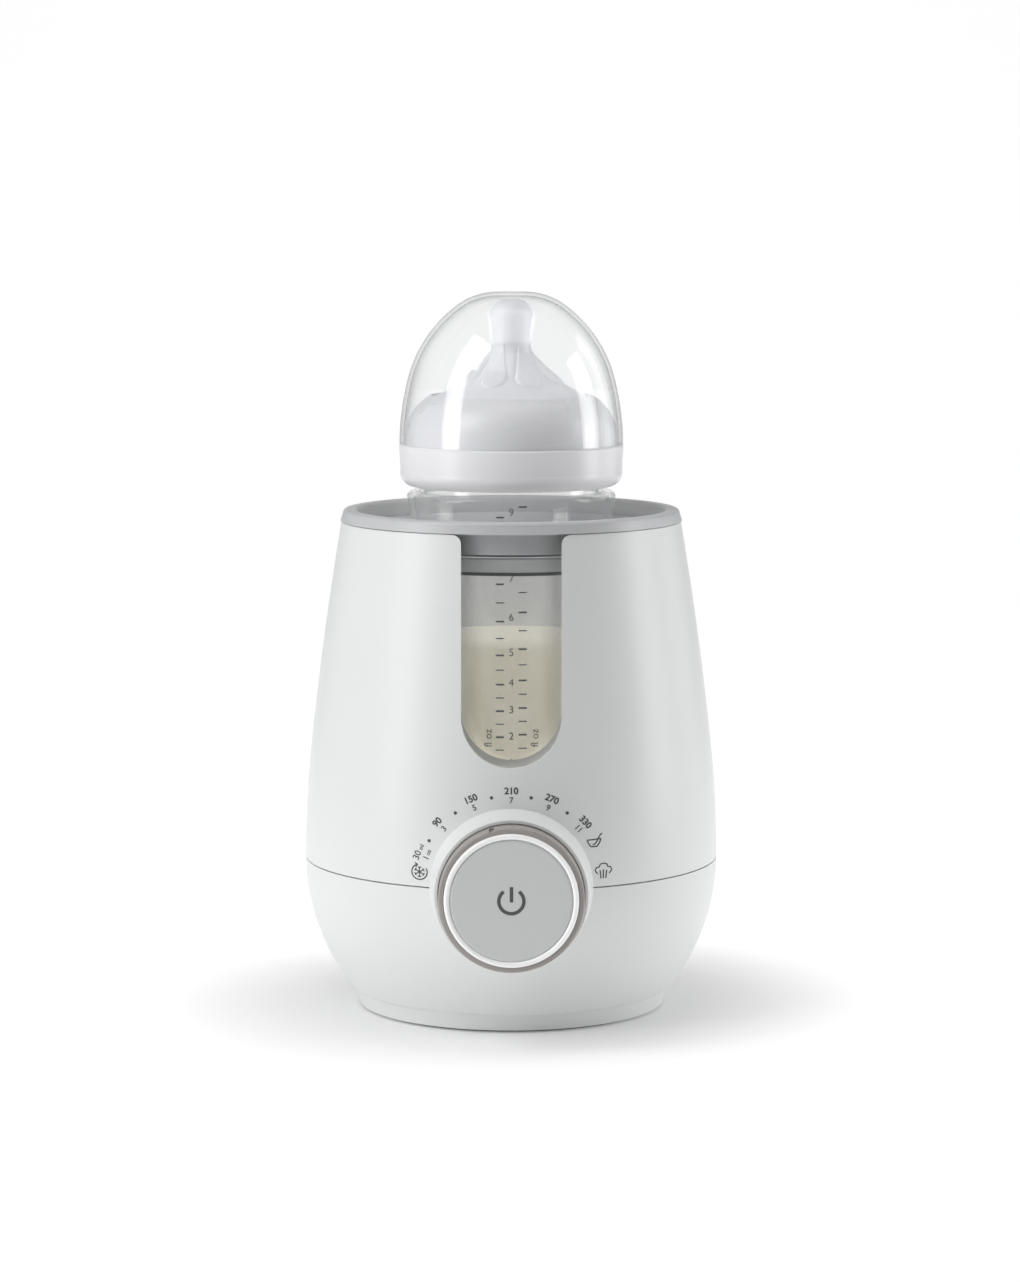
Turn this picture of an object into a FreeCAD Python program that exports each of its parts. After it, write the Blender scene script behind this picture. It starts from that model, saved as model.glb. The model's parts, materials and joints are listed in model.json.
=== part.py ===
"""Bottle warmer with a baby bottle standing in its water well: an assembly of separate pieces.

Millimetres, +Z up. The origin is the centre of the foot, on the table. The front, with the window and the
dial, faces -Y. Every length comes from the spreadsheet "Sizes"; pieces that fit together share its cells.
"""

import FreeCAD
import Part
import Sketcher

import math
import operator
import os

Vector = FreeCAD.Vector

# name, value: the driving dimensions, in millimetres, and counts and angles in degrees
DRIVING_SIZES = [
    # the bottle and what it fits in
    ("bottle_radius", 34.8), ("bottle_gap", 5.2), ("mouth_flare", 8.2), ("rim_width", 5.2),
    ("belly_swell", 11.7), ("foot_inset", 16.8),
    # clearances
    ("gap", 0.3), ("slip", 0.1), ("running", 0.06),
    # outer shells
    ("seam_height", 47.5), ("seam_gap", 0.4), ("crown_height", 153.8), ("shell_wall", 2.2),
    ("flank_rise", 37.5), ("flank_inset", 2.05), ("tongue_depth", 3.0), ("tongue_wall", 1.4),
    ("foot_height", 5.8), ("foot_flare", 1.3), ("foot_wall", 2.0), ("bowl_overhang", 1.2),
    ("sole_height", 0.8), ("plate_height", 1.6), ("plate_wall", 2.6), ("grip_width", 5.0),
    ("vent_count", 16), ("vent_width", 2.4), ("vent_length", 9.0), ("vent_radius", 20.0),
    # screws and the posts that they go into
    ("screw_radius", 1.3), ("head_radius", 2.6), ("head_height", 1.6), ("post_wall", 2.2),
    ("post_count", 4), ("post_height", 15.0), ("post_inset", 7.0),
    # rim collar
    ("rim_rise", 3.8), ("rim_round", 1.2), ("rim_draft", 0.7), ("rim_skirt", 6.4), ("rim_skirt_wall", 1.6),
    ("ledge_depth", 5.2), ("ledge_width", 2.4), ("funnel_depth", 11.4), ("funnel_wall", 1.8),
    # water well
    ("well_floor", 70.4), ("floor_wall", 2.2), ("well_wall", 2.4), ("well_draft", 0.6),
    ("well_round", 4.0), ("flange_width", 4.8), ("flange_wall", 2.2), ("drain_radius", 31.0),
    # window
    ("window_half", 15.2), ("window_sill", 84.3), ("window_corner", 2.86), ("lens_recess", 1.0),
    ("lens_wall", 1.6), ("frame_wall", 1.6), ("pane_margin", 1.0), ("gasket_width", 1.0),
    # heater
    ("heater_flange", 2.6), ("seal_height", 1.0), ("seal_width", 3.6), ("heater_step", 0.5),
    ("element_ring", 22.0), ("element_radius", 3.2), ("element_sweep", 320.0), ("pin_radius", 1.3),
    ("pin_length", 9.0), ("clamp_drop", 8.6), ("clamp_wall", 1.4), ("clamp_screws", 3),
    ("thermostat_radius", 8.0), ("thermostat_height", 7.0), ("fuse_radius", 1.8), ("fuse_length", 14.0),
    # dial, light ring and power button
    ("knob_radius", 21.9), ("knob_proud", 16.9), ("knob_wall", 1.5), ("bezel_wall", 2.0),
    ("bezel_proud", 1.1), ("cup_flange", 2.8), ("cup_floor", 1.6), ("guide_bore", 7.0), ("guide_wall", 1.6),
    ("guide_length", 19.0), ("guide_lip", 1.5), ("web_wall", 2.0), ("hub_wall", 1.8), ("hub_length", 11.0),
    ("pointer_width", 1.5), ("pointer_depth", 0.6), ("pointer_length", 5.0), ("pointer_angle", 15.7),
    ("code_teeth", 24), ("code_wall", 0.8), ("light_wall", 1.7), ("light_proud", 0.9), ("light_floor", 1.5),
    ("button_wall", 1.6), ("button_skirt", 5.0), ("stem_radius", 4.0), ("collar_height", 4.0),
    ("press_travel", 1.2), ("coil_turns", 7), ("coil_wire", 0.7), ("led_count", 8),
    # circuit boards
    ("board_wall", 1.6), ("board_width", 46.0), ("board_depth", 34.0), ("front_board_height", 24.0),
    ("switch_side", 6.2), ("switch_height", 2.4), ("power_board_height", 12.4), ("part_margin", 2.0),
    # cord outlet at the back
    ("cord_height", 24.0), ("cord_bore", 3.6), ("gland_wall", 2.3), ("gland_flange", 2.0),
    ("gland_inside", 11.0), ("gland_proud", 1.0), ("lead_radius", 1.1), ("ribbon_width", 10.0),
    # bottle, its ring, teat and cap
    ("bottle_wall", 1.4), ("bottle_round", 5.0), ("grip_height", 100.0), ("milk_height", 120.0),
    ("waist_height", 140.0), ("waist_inset", 5.3), ("shoulder_height", 161.4), ("shoulder_inset", 2.0),
    ("neck_inset", 5.8), ("neck_height", 177.0), ("thread_depth", 0.45), ("ring_foot", 164.9),
    ("ring_seam", 177.8), ("ring_margin", 0.5), ("ring_hole", 24.6), ("ring_top", 193.3),
    ("teat_wall", 1.5), ("teat_radius", 6.7), ("teat_neck", 6.0), ("teat_top", 223.2), ("teat_tip", 1.4),
    ("cap_wall", 1.2), ("cap_top", 225.6), ("cap_flat", 4.0),
]

OPERATIONS = {"+": operator.add, "-": operator.sub, "*": operator.mul, "/": operator.truediv}


class Size:
    """A number together with the spreadsheet expression that gives it."""

    def __init__(self, number, text):
        self.number = float(number)
        self.text = text

    def __add__(self, other):
        return joined(self, "+", other)

    def __radd__(self, other):
        return joined(other, "+", self)

    def __sub__(self, other):
        return joined(self, "-", other)

    def __rsub__(self, other):
        return joined(other, "-", self)

    def __mul__(self, other):
        return joined(self, "*", other)

    def __rmul__(self, other):
        return joined(other, "*", self)

    def __truediv__(self, other):
        return joined(self, "/", other)

    def __neg__(self):
        return joined(0, "-", self)


class Via:
    """A point that the outline's arc passes through, between the corners before and after it."""

    def __init__(self, across, up):
        self.across, self.up = size(across), size(up)


def size(value):
    return value if isinstance(value, Size) else Size(value, f"{float(value):.9g}")


def joined(first, sign, second):
    first, second = size(first), size(second)
    number = OPERATIONS[sign](first.number, second.number)
    return Size(number, f"({first.text} {sign} {second.text})")


def root(value):
    value = size(value)
    return Size(math.sqrt(value.number), f"sqrt({value.text})")


class Sizes:
    """The spreadsheet's cells by name, each as a Size."""

    def __init__(self, doc):
        sheet = doc.addObject("Spreadsheet::Sheet", "Sizes")
        for row, (name, value) in enumerate(DRIVING_SIZES, 1):
            sheet.set(f"A{row}", name)
            sheet.set(f"B{row}", str(value))
            sheet.setAlias(f"B{row}", name)
            setattr(self, name, Size(value, f"Sizes.{name}"))


doc = FreeCAD.newDocument("BottleWarmer")
s = Sizes(doc)
doc.recompute()
pieces = {}


# ---- sizes that several pieces share, worked out from the driving ones

well_radius = s.bottle_radius + s.bottle_gap
mouth_radius = well_radius + s.mouth_flare
crown_radius = mouth_radius + s.rim_width
belly_radius = crown_radius + s.belly_swell
foot_radius = belly_radius - s.foot_inset
inner_foot_radius = foot_radius - s.foot_wall
well_outside = well_radius + s.well_wall
rim_top = s.crown_height + s.rim_rise
well_top = rim_top - s.funnel_depth - s.gap
floor_underside = s.well_floor - s.floor_wall
heater_top = floor_underside - s.seal_height
heater_underside = heater_top - s.heater_flange
heater_radius = s.drain_radius + s.seal_width + s.gap * 3
clamp_height = heater_underside - s.clamp_drop
clamp_post_ring = heater_radius + s.screw_radius + s.post_wall + s.slip
knob_front = belly_radius + s.knob_proud
bezel_radius = s.knob_radius + s.gap + s.bezel_wall
cup_flange_radius = bezel_radius + s.cup_flange
bowl_radius = foot_radius + s.foot_flare + s.bowl_overhang
bowl_height = s.foot_height + s.gap * 2
lower_seam = s.seam_height - s.seam_gap / 2
bowl_drop = lower_seam - bowl_height - s.shell_wall
bowl_inset = belly_radius - bowl_radius
bowl_bend = (bowl_drop * bowl_drop + bowl_inset * bowl_inset) / (2 * bowl_inset)
cup_seat = (belly_radius - s.shell_wall - bowl_bend
            + root(bowl_bend * bowl_bend - cup_flange_radius * cup_flange_radius) - s.gap * 1.5)
cup_back = cup_seat - s.cup_floor
cup_front = belly_radius + s.bezel_proud
guide_radius = s.guide_bore + s.guide_wall
guide_front = cup_seat + s.guide_length
guide_back = cup_back - s.guide_lip
light_radius = s.knob_radius - s.knob_wall - s.gap * 0.7
light_front = knob_front + s.light_proud
light_seat = guide_front - s.light_floor - s.gap * 2
button_radius = light_radius - s.light_wall - s.gap * 0.5
button_front = light_front - s.gap
web_back = cup_seat + s.code_wall + s.gap * 9
front_board_face = guide_back - s.press_travel - s.switch_height - s.gap * 4
bottle_foot = s.well_floor + s.gap
window_arc_height = s.window_sill + s.window_half
ring_radius = s.bottle_radius + s.ring_margin
neck_radius = s.bottle_radius - s.neck_inset


# ---- drawing and features

def bind(thing, property_name, value):
    value = size(value)
    thing.setExpression(property_name, value.text)


def body(label):
    made = doc.addObject("PartDesign::Body", "".join(w.capitalize() for w in label.split("_")))
    made.Label = label
    return made


def sketch(holder, name, plane, offset=0):
    made = holder.newObject("Sketcher::SketchObject", holder.Name + name)
    support = next(f for f in holder.Origin.OriginFeatures if f.Role == plane)
    made.AttachmentSupport = [(support, "")]
    made.MapMode = "FlatFace"
    offset = size(offset)
    made.AttachmentOffset = FreeCAD.Placement(Vector(0, 0, offset.number), FreeCAD.Rotation())
    bind(made, "AttachmentOffset.Base.z", offset)
    return made


def hold(drawing, part, end, across, up):
    """Ties a sketch point to its distances from the sketch's origin."""
    for kind, value in (("DistanceX", size(across)), ("DistanceY", size(up))):
        at = drawing.addConstraint(Sketcher.Constraint(kind, -1, 1, part, end, value.number))
        bind(drawing, f"Constraints[{at}]", value)


def flat(point):
    across, up = (point.across, point.up) if isinstance(point, Via) else map(size, point)
    return Vector(across.number, up.number, 0)


def draw_outline(drawing, points):
    """A closed outline: straight from corner to corner, or on an arc where a Via stands between two."""
    count = len(points)
    edges = []
    for place, point in enumerate(points):
        if isinstance(point, Via):
            continue
        after = points[(place + 1) % count]
        via = after if isinstance(after, Via) else None
        end = points[(place + 2) % count] if via else after
        start, finish, ends = flat(point), flat(end), (1, 2)
        if via and (flat(via) - start).cross(finish - flat(via)).z < 0:
            start, finish, ends = finish, start, (2, 1)
        curve = Part.Arc(start, flat(via), finish) if via else Part.LineSegment(start, finish)
        edges.append((drawing.addGeometry(curve, False), *ends, point, via))
    for (part, _, tail, _, _), (next_part, head, _, _, _) in zip(edges, edges[1:] + edges[:1]):
        drawing.addConstraint(Sketcher.Constraint("Coincident", part, tail, next_part, head))
    for part, head, _, point, via in edges:
        hold(drawing, part, head, *point)
        if via:
            spot = drawing.addGeometry(Part.Point(flat(via)), True)
            hold(drawing, spot, 1, via.across, via.up)
            drawing.addConstraint(Sketcher.Constraint("PointOnObject", spot, 1, part))


def draw_circle(drawing, across, up, radius):
    centre, radius = flat((across, up)), size(radius)
    part = drawing.addGeometry(Part.Circle(centre, Vector(0, 0, 1), radius.number), False)
    hold(drawing, part, 3, across, up)
    at = drawing.addConstraint(Sketcher.Constraint("Radius", part, radius.number))
    bind(drawing, f"Constraints[{at}]", radius)


def turned(label, points, angle=360):
    """A body made by turning an outline of (radius, height) about the Z axis."""
    made = body(label)
    drawing = sketch(made, "Outline", "XZ_Plane")
    draw_outline(drawing, points)
    turn = made.newObject("PartDesign::Revolution", made.Name + "Turn")
    turn.Profile = drawing
    turn.ReferenceAxis = (drawing, ["V_Axis"])
    turn.Angle = angle
    doc.recompute()
    return made


def feature(holder, kind, name, drawing, length=None, reverse=False):
    """A Pad or Pocket of that length, or through everything ahead of the sketch when it has none."""
    before = holder.Shape.Volume if holder.Tip and not holder.Shape.isNull() else 0
    made = holder.newObject("PartDesign::" + kind, holder.Name + name)
    made.Profile = drawing
    if length is None:
        made.Type = "ThroughAll"
    else:
        made.Length = size(length).number
        bind(made, "Length", length)
    made.Reversed = reverse
    doc.recompute()
    change = holder.Shape.Volume - before
    if (change <= 0) if kind == "Pad" else (change >= 0):
        raise ValueError(f"{holder.Label}: {name} changes nothing")
    return made


def pad(holder, name, plane, offset, length, draw, reverse=False):
    drawing = sketch(holder, name + "Shape", plane, offset)
    draw(drawing)
    return feature(holder, "Pad", name, drawing, length, reverse)


def pocket(holder, name, plane, offset, length, draw, reverse=False):
    """Cuts against the plane's normal, or along it when reversed. The XZ plane's normal is -Y."""
    drawing = sketch(holder, name + "Shape", plane, offset)
    draw(drawing)
    return feature(holder, "Pocket", name, drawing, length, reverse)


def around(holder, source, count):
    """Repeats a feature evenly about the Z axis."""
    made = holder.newObject("PartDesign::PolarPattern", source.Name + "Around")
    made.Originals = [source]
    made.Axis = (next(f for f in holder.Origin.OriginFeatures if f.Role == "Z_Axis"), [""])
    made.Angle = 360
    made.Occurrences = int(size(count).number)
    bind(made, "Occurrences", count)
    holder.Tip = made
    doc.recompute()
    return made


def circle(across, up, radius):
    return lambda drawing: draw_circle(drawing, across, up, radius)


def outline(points):
    return lambda drawing: draw_outline(drawing, points)


def rectangle(left, low, right, high):
    return outline([(left, low), (right, low), (right, high), (left, high)])


def boolean(kind, label, first, second):
    made = doc.addObject("Part::" + kind, "".join(w.capitalize() for w in label.split("_")))
    made.Label = label
    made.Base, made.Tool = first, second
    return made


def primitive(kind, label, place=(0, 0, 0), **lengths):
    made = doc.addObject("Part::" + kind, "".join(w.capitalize() for w in label.split("_")))
    made.Label = label
    for name, value in lengths.items():
        bind(made, name, value)
    for letter, value in zip("xyz", place):
        bind(made, f"Placement.Base.{letter}", value)
    doc.recompute()
    return made


def fused(label, members):
    made = doc.addObject("Part::MultiFuse", "".join(w.capitalize() for w in label.split("_")))
    made.Label = label
    made.Shapes = members
    return made


def free_shape(label, shape):
    made = doc.addObject("Part::Feature", "".join(w.capitalize() for w in label.split("_")))
    made.Label = label
    made.Shape = shape
    return made


def on_dial(made):
    """Lays a piece that was turned about Z along the dial's axis, at the seam's height, facing forwards."""
    made.Placement = FreeCAD.Placement(Vector(0, 0, s.seam_height.number),
                                       FreeCAD.Rotation(Vector(1, 0, 0), 90))
    bind(made, "Placement.Base.z", s.seam_height)
    return made


def keep(*made):
    for piece in made:
        pieces[piece.Label] = piece


def copies_around(label, source, count, radius, turn=0.0):
    """Copies of a small turned piece, standing in a circle about the Z axis."""
    shapes = []
    for place in range(int(count.number)):
        angle = math.radians(turn) + place * 2 * math.pi / count.number
        copy = source.Shape.copy()
        copy.translate(Vector(radius.number * math.cos(angle), radius.number * math.sin(angle), 0))
        shapes.append(copy)
    return free_shape(label, Part.makeCompound(shapes))


def copies_at(label, source, places):
    """Copies of a small turned piece, each moved by one of the places (x, y)."""
    shapes = []
    for across, back in places:
        copy = source.Shape.copy()
        copy.translate(Vector(across.number, back.number, 0))
        shapes.append(copy)
    return free_shape(label, Part.makeCompound(shapes))


def round_tube(points, radius, bend_share=0.45):
    """A tube along straight runs joined by tangent arcs, each as large as its two runs allow."""
    corners = [Vector(*p) for p in points]
    runs = [b - a for a, b in zip(corners, corners[1:])]
    edges, start = [], corners[0]
    for corner, before, after in zip(corners[1:], runs, runs[1:]):
        turn = before.getAngle(after)
        trim = bend_share * min(before.Length, after.Length)
        ahead, behind = Vector(before).normalize(), Vector(after).normalize()
        enter, leave = corner - ahead * trim, corner + behind * trim
        middle = corner + (behind - ahead).normalize() * depth_of(trim, turn)
        edges.append(Part.LineSegment(start, enter).toShape())
        edges.append(Part.Arc(enter, middle, leave).toShape())
        start = leave
    edges.append(Part.LineSegment(start, corners[-1]).toShape())
    section = Part.Wire(Part.Circle(corners[0], runs[0], radius).toShape())
    return Part.Wire(edges).makePipeShell([section], True, False)


def depth_of(trim, turn):
    """How far a tangent arc stays from its corner, when it starts that far before the corner."""
    bend = trim / math.tan(turn / 2)
    return bend / math.cos(turn / 2) - bend


# ---- outlines that pieces share

def belly_arc(low_radius, low_height, high_radius, high_height):
    """The middle of an arc that reaches the high point upright."""
    drop, inset = high_height - low_height, high_radius - low_radius
    bend = (drop * drop + inset * inset) / (2 * inset)
    cosine = (bend - inset) / bend
    across = high_radius - bend + bend * root((1 + cosine) / 2)
    return Via(across, high_height - bend * root((1 - cosine) / 2))


def flank(inset, foot_height):
    """The upper shell's side, from the seam to the crown, moved in by inset."""
    start = belly_radius - inset
    knee_height = s.seam_height + s.flank_rise
    knee_radius = start - s.flank_inset
    rise = s.crown_height - knee_height
    slope = 2 * s.flank_inset / s.flank_rise
    end_radius = crown_radius - inset
    bow = (knee_radius - end_radius - slope * rise) / 4
    middle_radius = knee_radius - slope * rise / 2 - bow
    return [(start, foot_height), Via(start - s.flank_inset / 4, s.seam_height + s.flank_rise / 2),
            (knee_radius, knee_height), Via(middle_radius, knee_height + rise / 2),
            (end_radius, s.crown_height)]


def window_outline(margin, top):
    """The window's U, grown by margin, and open upwards as far as top."""
    half = s.window_half + margin
    return [(-half, top), (-half, window_arc_height), Via(0, window_arc_height - half),
            (half, window_arc_height), (half, top)]


def bottle_side(inset):
    """The bottle's side from the top of its foot to its shoulder, moved in by inset."""
    wide = s.bottle_radius - inset
    waist = wide - s.waist_inset
    middle = wide - s.waist_inset / 2
    first, second = s.milk_height - s.grip_height, s.waist_height - s.milk_height
    return [(wide, bottle_foot + s.bottle_round), (wide, s.grip_height),
            Via(wide - s.waist_inset / 8, s.grip_height + first / 2), (middle, s.milk_height),
            Via(waist + s.waist_inset / 8, s.milk_height + second / 2), (waist, s.waist_height)]


# ---- outer shells

def lower_housing():
    """Bowl from the foot to the seam, with posts for the base screws and holes for the dial and gland."""
    seam = lower_seam
    inner = belly_radius - s.shell_wall
    inner_low = bowl_radius - s.shell_wall
    inner_height = bowl_height + s.shell_wall
    bowl = turned("lower_housing", [
        (foot_radius, s.sole_height), (foot_radius + s.foot_flare, s.foot_height), (bowl_radius, bowl_height),
        belly_arc(bowl_radius, bowl_height, belly_radius, seam), (belly_radius, seam), (inner, seam),
        belly_arc(inner_low, inner_height, inner, seam), (inner_low, inner_height),
        (inner_foot_radius, bowl_height - s.gap), (inner_foot_radius, s.sole_height)])
    ring = inner_foot_radius - s.post_inset + s.foot_wall
    post = s.screw_radius + s.post_wall
    low = s.plate_height + s.plate_wall
    tail = inner_foot_radius + s.foot_wall / 2
    one = pad(bowl, "Post", "XY_Plane", low, s.post_height,
              outline([(ring, -post), (tail, -post), (tail, post), (ring, post), Via(ring - post, 0)]))
    around(bowl, one, s.post_count)
    hole = pocket(bowl, "PostHole", "XY_Plane", low, s.post_height - s.post_wall,
                  circle(ring, 0, s.screw_radius + s.slip), reverse=True)
    around(bowl, hole, s.post_count)
    pocket(bowl, "DialHole", "XZ_Plane", 0, None, circle(0, s.seam_height, bezel_radius + s.gap / 2),
           reverse=True)
    pocket(bowl, "CordHole", "XZ_Plane", 0, None,
           circle(0, s.cord_height, s.cord_bore + s.gland_wall + s.gap / 2))
    keep(bowl)
    return ring


def upper_housing():
    """Tapered shell from the seam to the crown, with the window's cut-out and the dial's hole."""
    seam = s.seam_height + s.seam_gap / 2
    tongue = belly_radius - s.shell_wall - s.gap
    outside = flank(0, seam)
    inside = flank(s.shell_wall, s.seam_height + s.tongue_depth + s.tongue_wall)
    inside[1] = Via(belly_radius - s.shell_wall - s.flank_inset * 0.36, s.seam_height + s.flank_rise * 0.6)
    shell = turned("upper_housing", outside + inside[::-1] + [
        (tongue - s.tongue_wall, s.seam_height + s.tongue_depth),
        (tongue - s.tongue_wall, s.seam_height - s.tongue_depth), (tongue, s.seam_height - s.tongue_depth),
        (tongue, seam)])
    corner = s.window_half + s.window_corner
    bend = s.window_corner * (1 - math.sqrt(0.5))
    top = s.crown_height
    opening = [(-corner, top + s.gap), (-corner, top), Via(-s.window_half - bend, top - bend),
               (-s.window_half, top - s.window_corner), (-s.window_half, window_arc_height),
               Via(0, s.window_sill), (s.window_half, window_arc_height),
               (s.window_half, top - s.window_corner), Via(s.window_half + bend, top - bend),
               (corner, top), (corner, top + s.gap)]
    pocket(shell, "Window", "XZ_Plane", 0, None, outline(opening), reverse=True)
    pocket(shell, "DialHole", "XZ_Plane", 0, None, circle(0, s.seam_height, bezel_radius + s.gap / 2),
           reverse=True)
    pocket(shell, "TongueGap", "XZ_Plane", 0, cup_seat + s.gap,
           circle(0, s.seam_height, cup_flange_radius + s.gap), reverse=True)
    keep(shell)


def base_plate(post_ring):
    """Bottom cover with vents, standoffs for the power board and recesses for its four screws."""
    radius = inner_foot_radius - s.gap
    low, high = s.plate_height, s.plate_height + s.plate_wall
    plate = turned("base_plate", [(0, low), (radius, low), (radius, high), (0, high)])
    hole = pocket(plate, "ScrewHole", "XY_Plane", high, None, circle(post_ring, 0, s.screw_radius + s.slip))
    around(plate, hole, s.post_count)
    sink = pocket(plate, "ScrewSink", "XY_Plane", low, s.head_height,
                  circle(post_ring, 0, s.head_radius + s.slip), reverse=True)
    around(plate, sink, s.post_count)
    half = s.vent_width / 2
    inner, outer = s.vent_radius, s.vent_radius + s.vent_length
    vent = pocket(plate, "Vent", "XY_Plane", high, None, outline([
        (inner, -half), (outer, -half), Via(outer + half, 0), (outer, half), (inner, half),
        Via(inner - half, 0)]))
    around(plate, vent, s.vent_count)
    stand = s.power_board_height - high
    across, back = board_corner()
    for place, (x, y) in enumerate([(across, back), (-across, back), (-across, -back), (across, -back)]):
        pad(plate, f"Standoff{place}", "XY_Plane", high, stand,
            circle(x, y, s.screw_radius + s.post_wall))
        pocket(plate, f"StandoffHole{place}", "XY_Plane", s.power_board_height, stand,
               circle(x, y, s.screw_radius + s.slip))
    keep(plate)


def board_corner():
    """Where the power board's screws stand, from the middle."""
    margin = s.part_margin + s.head_radius
    return s.board_width / 2 - margin, s.board_depth / 2 - margin


def foot_ring():
    outer = inner_foot_radius - s.gap
    keep(turned("foot_ring", [(outer - s.grip_width, 0), (outer, 0), (outer, s.plate_height),
                              (outer - s.grip_width, s.plate_height)]))


def screws(post_ring):
    """Pan-head screws, turned once each and copied: base plate, power board and heater clamp."""
    head = s.plate_height
    shank = head + s.head_height
    base = turned("base_screw", [(0, head), (s.head_radius, head), (s.head_radius, shank),
                                 (s.screw_radius, shank), (s.screw_radius, shank + s.post_height * 0.7),
                                 (0, shank + s.post_height * 0.75)])
    keep(copies_around("base_screws", base, s.post_count, post_ring))
    top = s.power_board_height + s.board_wall
    board = turned("board_screw", [(0, top - s.board_wall * 4), (s.screw_radius, top - s.board_wall * 3.6),
                                   (s.screw_radius, top), (s.head_radius, top),
                                   (s.head_radius, top + s.head_height), (0, top + s.head_height)])
    across, back = board_corner()
    keep(copies_at("board_screws", board,
                   [(across, back), (-across, back), (-across, -back), (across, -back)]))
    under = clamp_height
    clamp = turned("clamp_screw", [(0, under - s.head_height), (s.head_radius, under - s.head_height),
                                   (s.head_radius, under), (s.screw_radius, under),
                                   (s.screw_radius, under + s.clamp_drop), (0, under + s.clamp_drop + s.gap)])
    keep(copies_around("clamp_screws", clamp, s.clamp_screws, clamp_post_ring, turn=90))


# ---- rim and water well

def rim_collar():
    """Grey ring on the crown: a rounded lip outside, a ledge and a funnel inside, a skirt in the shell."""
    lip = crown_radius + s.gap
    low = s.crown_height + s.gap * 0.8
    lip_top = lip - s.rim_draft
    skirt = crown_radius - s.lens_recess - s.lens_wall - s.gap
    ledge = rim_top - s.ledge_depth
    funnel = rim_top - s.funnel_depth
    bend = s.rim_round * (1 - math.sqrt(0.5))
    ledge_end = mouth_radius - s.gap - s.ledge_width
    keep(turned("rim_collar", [
        (lip, low), (lip_top, rim_top - s.rim_round), Via(lip_top - bend, rim_top - bend),
        (lip_top - s.rim_round, rim_top), (mouth_radius + s.rim_round, rim_top),
        Via(mouth_radius + bend, rim_top - bend), (mouth_radius, rim_top - s.rim_round),
        (mouth_radius - s.gap, ledge), (ledge_end, ledge - s.gap), (well_radius + s.gap * 2, funnel),
        (well_radius + s.gap * 2 + s.funnel_wall, funnel),
        (ledge_end + s.gap * 2, ledge - s.funnel_wall - s.gap),
        (skirt - s.rim_skirt_wall, ledge - s.funnel_wall), (skirt - s.rim_skirt_wall, low - s.rim_skirt),
        (skirt, low - s.rim_skirt), (skirt, low)]))


def water_well():
    """Cup that holds the water and the bottle: a flange at the top, a hole for the heater in its floor, and
    a U-shaped hole in its front wall for the inner window."""
    low_inside, low_outside = well_radius - s.well_draft, well_outside - s.well_draft
    flange = well_outside + s.flange_width
    bend = s.well_round * (1 - math.sqrt(0.5))
    cup = turned("water_well", [
        (s.drain_radius, floor_underside), (low_outside, floor_underside),
        (well_outside, well_top - s.flange_wall - s.gap), (flange, well_top - s.flange_wall),
        (flange, well_top), (well_radius, well_top), (low_inside, s.well_floor + s.well_round),
        Via(low_inside - bend, s.well_floor + bend), (low_inside - s.well_round, s.well_floor),
        (s.drain_radius, s.well_floor)])
    post = s.screw_radius + s.post_wall
    one = pad(cup, "ClampPost", "XY_Plane", clamp_height + s.clamp_wall,
              floor_underside - clamp_height - s.clamp_wall + s.slip, circle(0, clamp_post_ring, post))
    around(cup, one, s.clamp_screws)
    hole = pocket(cup, "ClampHole", "XY_Plane", clamp_height + s.clamp_wall,
                  s.clamp_drop - s.clamp_wall + s.gap * 2,
                  circle(0, clamp_post_ring, s.screw_radius + s.slip), reverse=True)
    around(cup, hole, s.clamp_screws)
    margin = s.pane_margin + s.gasket_width + s.slip
    pocket(cup, "Window", "XZ_Plane", 0, None,
           outline(window_outline(margin, well_top - s.flange_wall * 2)), reverse=True)
    keep(cup)


def front_prism(label, points, hollow=None):
    """A U outline pushed forwards from the middle of the object, to meet a turned shape in a boolean."""
    made = body(label)
    pad(made, "Block", "XZ_Plane", 0, belly_radius, outline(points))
    if hollow:
        pocket(made, "Hollow", "XZ_Plane", 0, None, outline(hollow), reverse=True)
    return made


def windows():
    """The outer lens, the tunnel behind it, the well's inner pane and the gasket round that."""
    foot = s.window_sill - s.window_half
    lens_skin = turned("lens_skin", flank_band(s.lens_recess, s.lens_recess + s.lens_wall, foot))
    lens_block = front_prism("lens_block", window_outline(-s.gap / 2, s.crown_height - s.gap))
    keep(boolean("Common", "window_lens", lens_skin, lens_block))
    frame_side = flank(s.shell_wall + s.gap, foot)[2:4]
    frame_skin = turned("frame_skin", [
        (well_outside + s.gap, foot), (frame_side[0][0], foot), *frame_side,
        (crown_radius - s.shell_wall - s.gap, s.crown_height), (well_outside + s.gap, s.crown_height)])
    frame_top = well_top - s.flange_wall * 2
    frame_block = front_prism("frame_block", window_outline(s.frame_wall + s.gap, frame_top),
                              hollow=window_outline(s.gap, s.crown_height))
    keep(boolean("Common", "window_frame", frame_skin, frame_block))
    low = well_outside - s.well_draft
    band = [(low - s.well_wall, foot), (low, foot),
            (well_outside, well_top), (well_outside - s.well_wall, well_top)]
    pane_top = well_top - s.flange_wall * 2 - s.gasket_width - s.slip
    pane_block = front_prism("pane_block", window_outline(s.pane_margin, pane_top))
    keep(boolean("Common", "inner_window", turned("pane_skin", band), pane_block))
    gasket_block = front_prism(
        "gasket_block",
        window_outline(s.pane_margin + s.gasket_width, well_top - s.flange_wall * 2 - s.slip))
    hollow = front_prism("gasket_hollow", window_outline(s.pane_margin + s.slip / 2, pane_top + s.slip / 2))
    ring = boolean("Cut", "gasket_ring", gasket_block, hollow)
    keep(boolean("Common", "window_gasket", turned("gasket_skin", band), ring))


def flank_band(outer_inset, inner_inset, foot_height):
    """A band that follows the upper shell's side between two insets, above a height."""
    outer, inner = flank(outer_inset, foot_height)[2:], flank(inner_inset, foot_height)[2:]
    return [(outer[0][0], foot_height), *outer, *inner[::-1], (inner[0][0], foot_height)]


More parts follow.
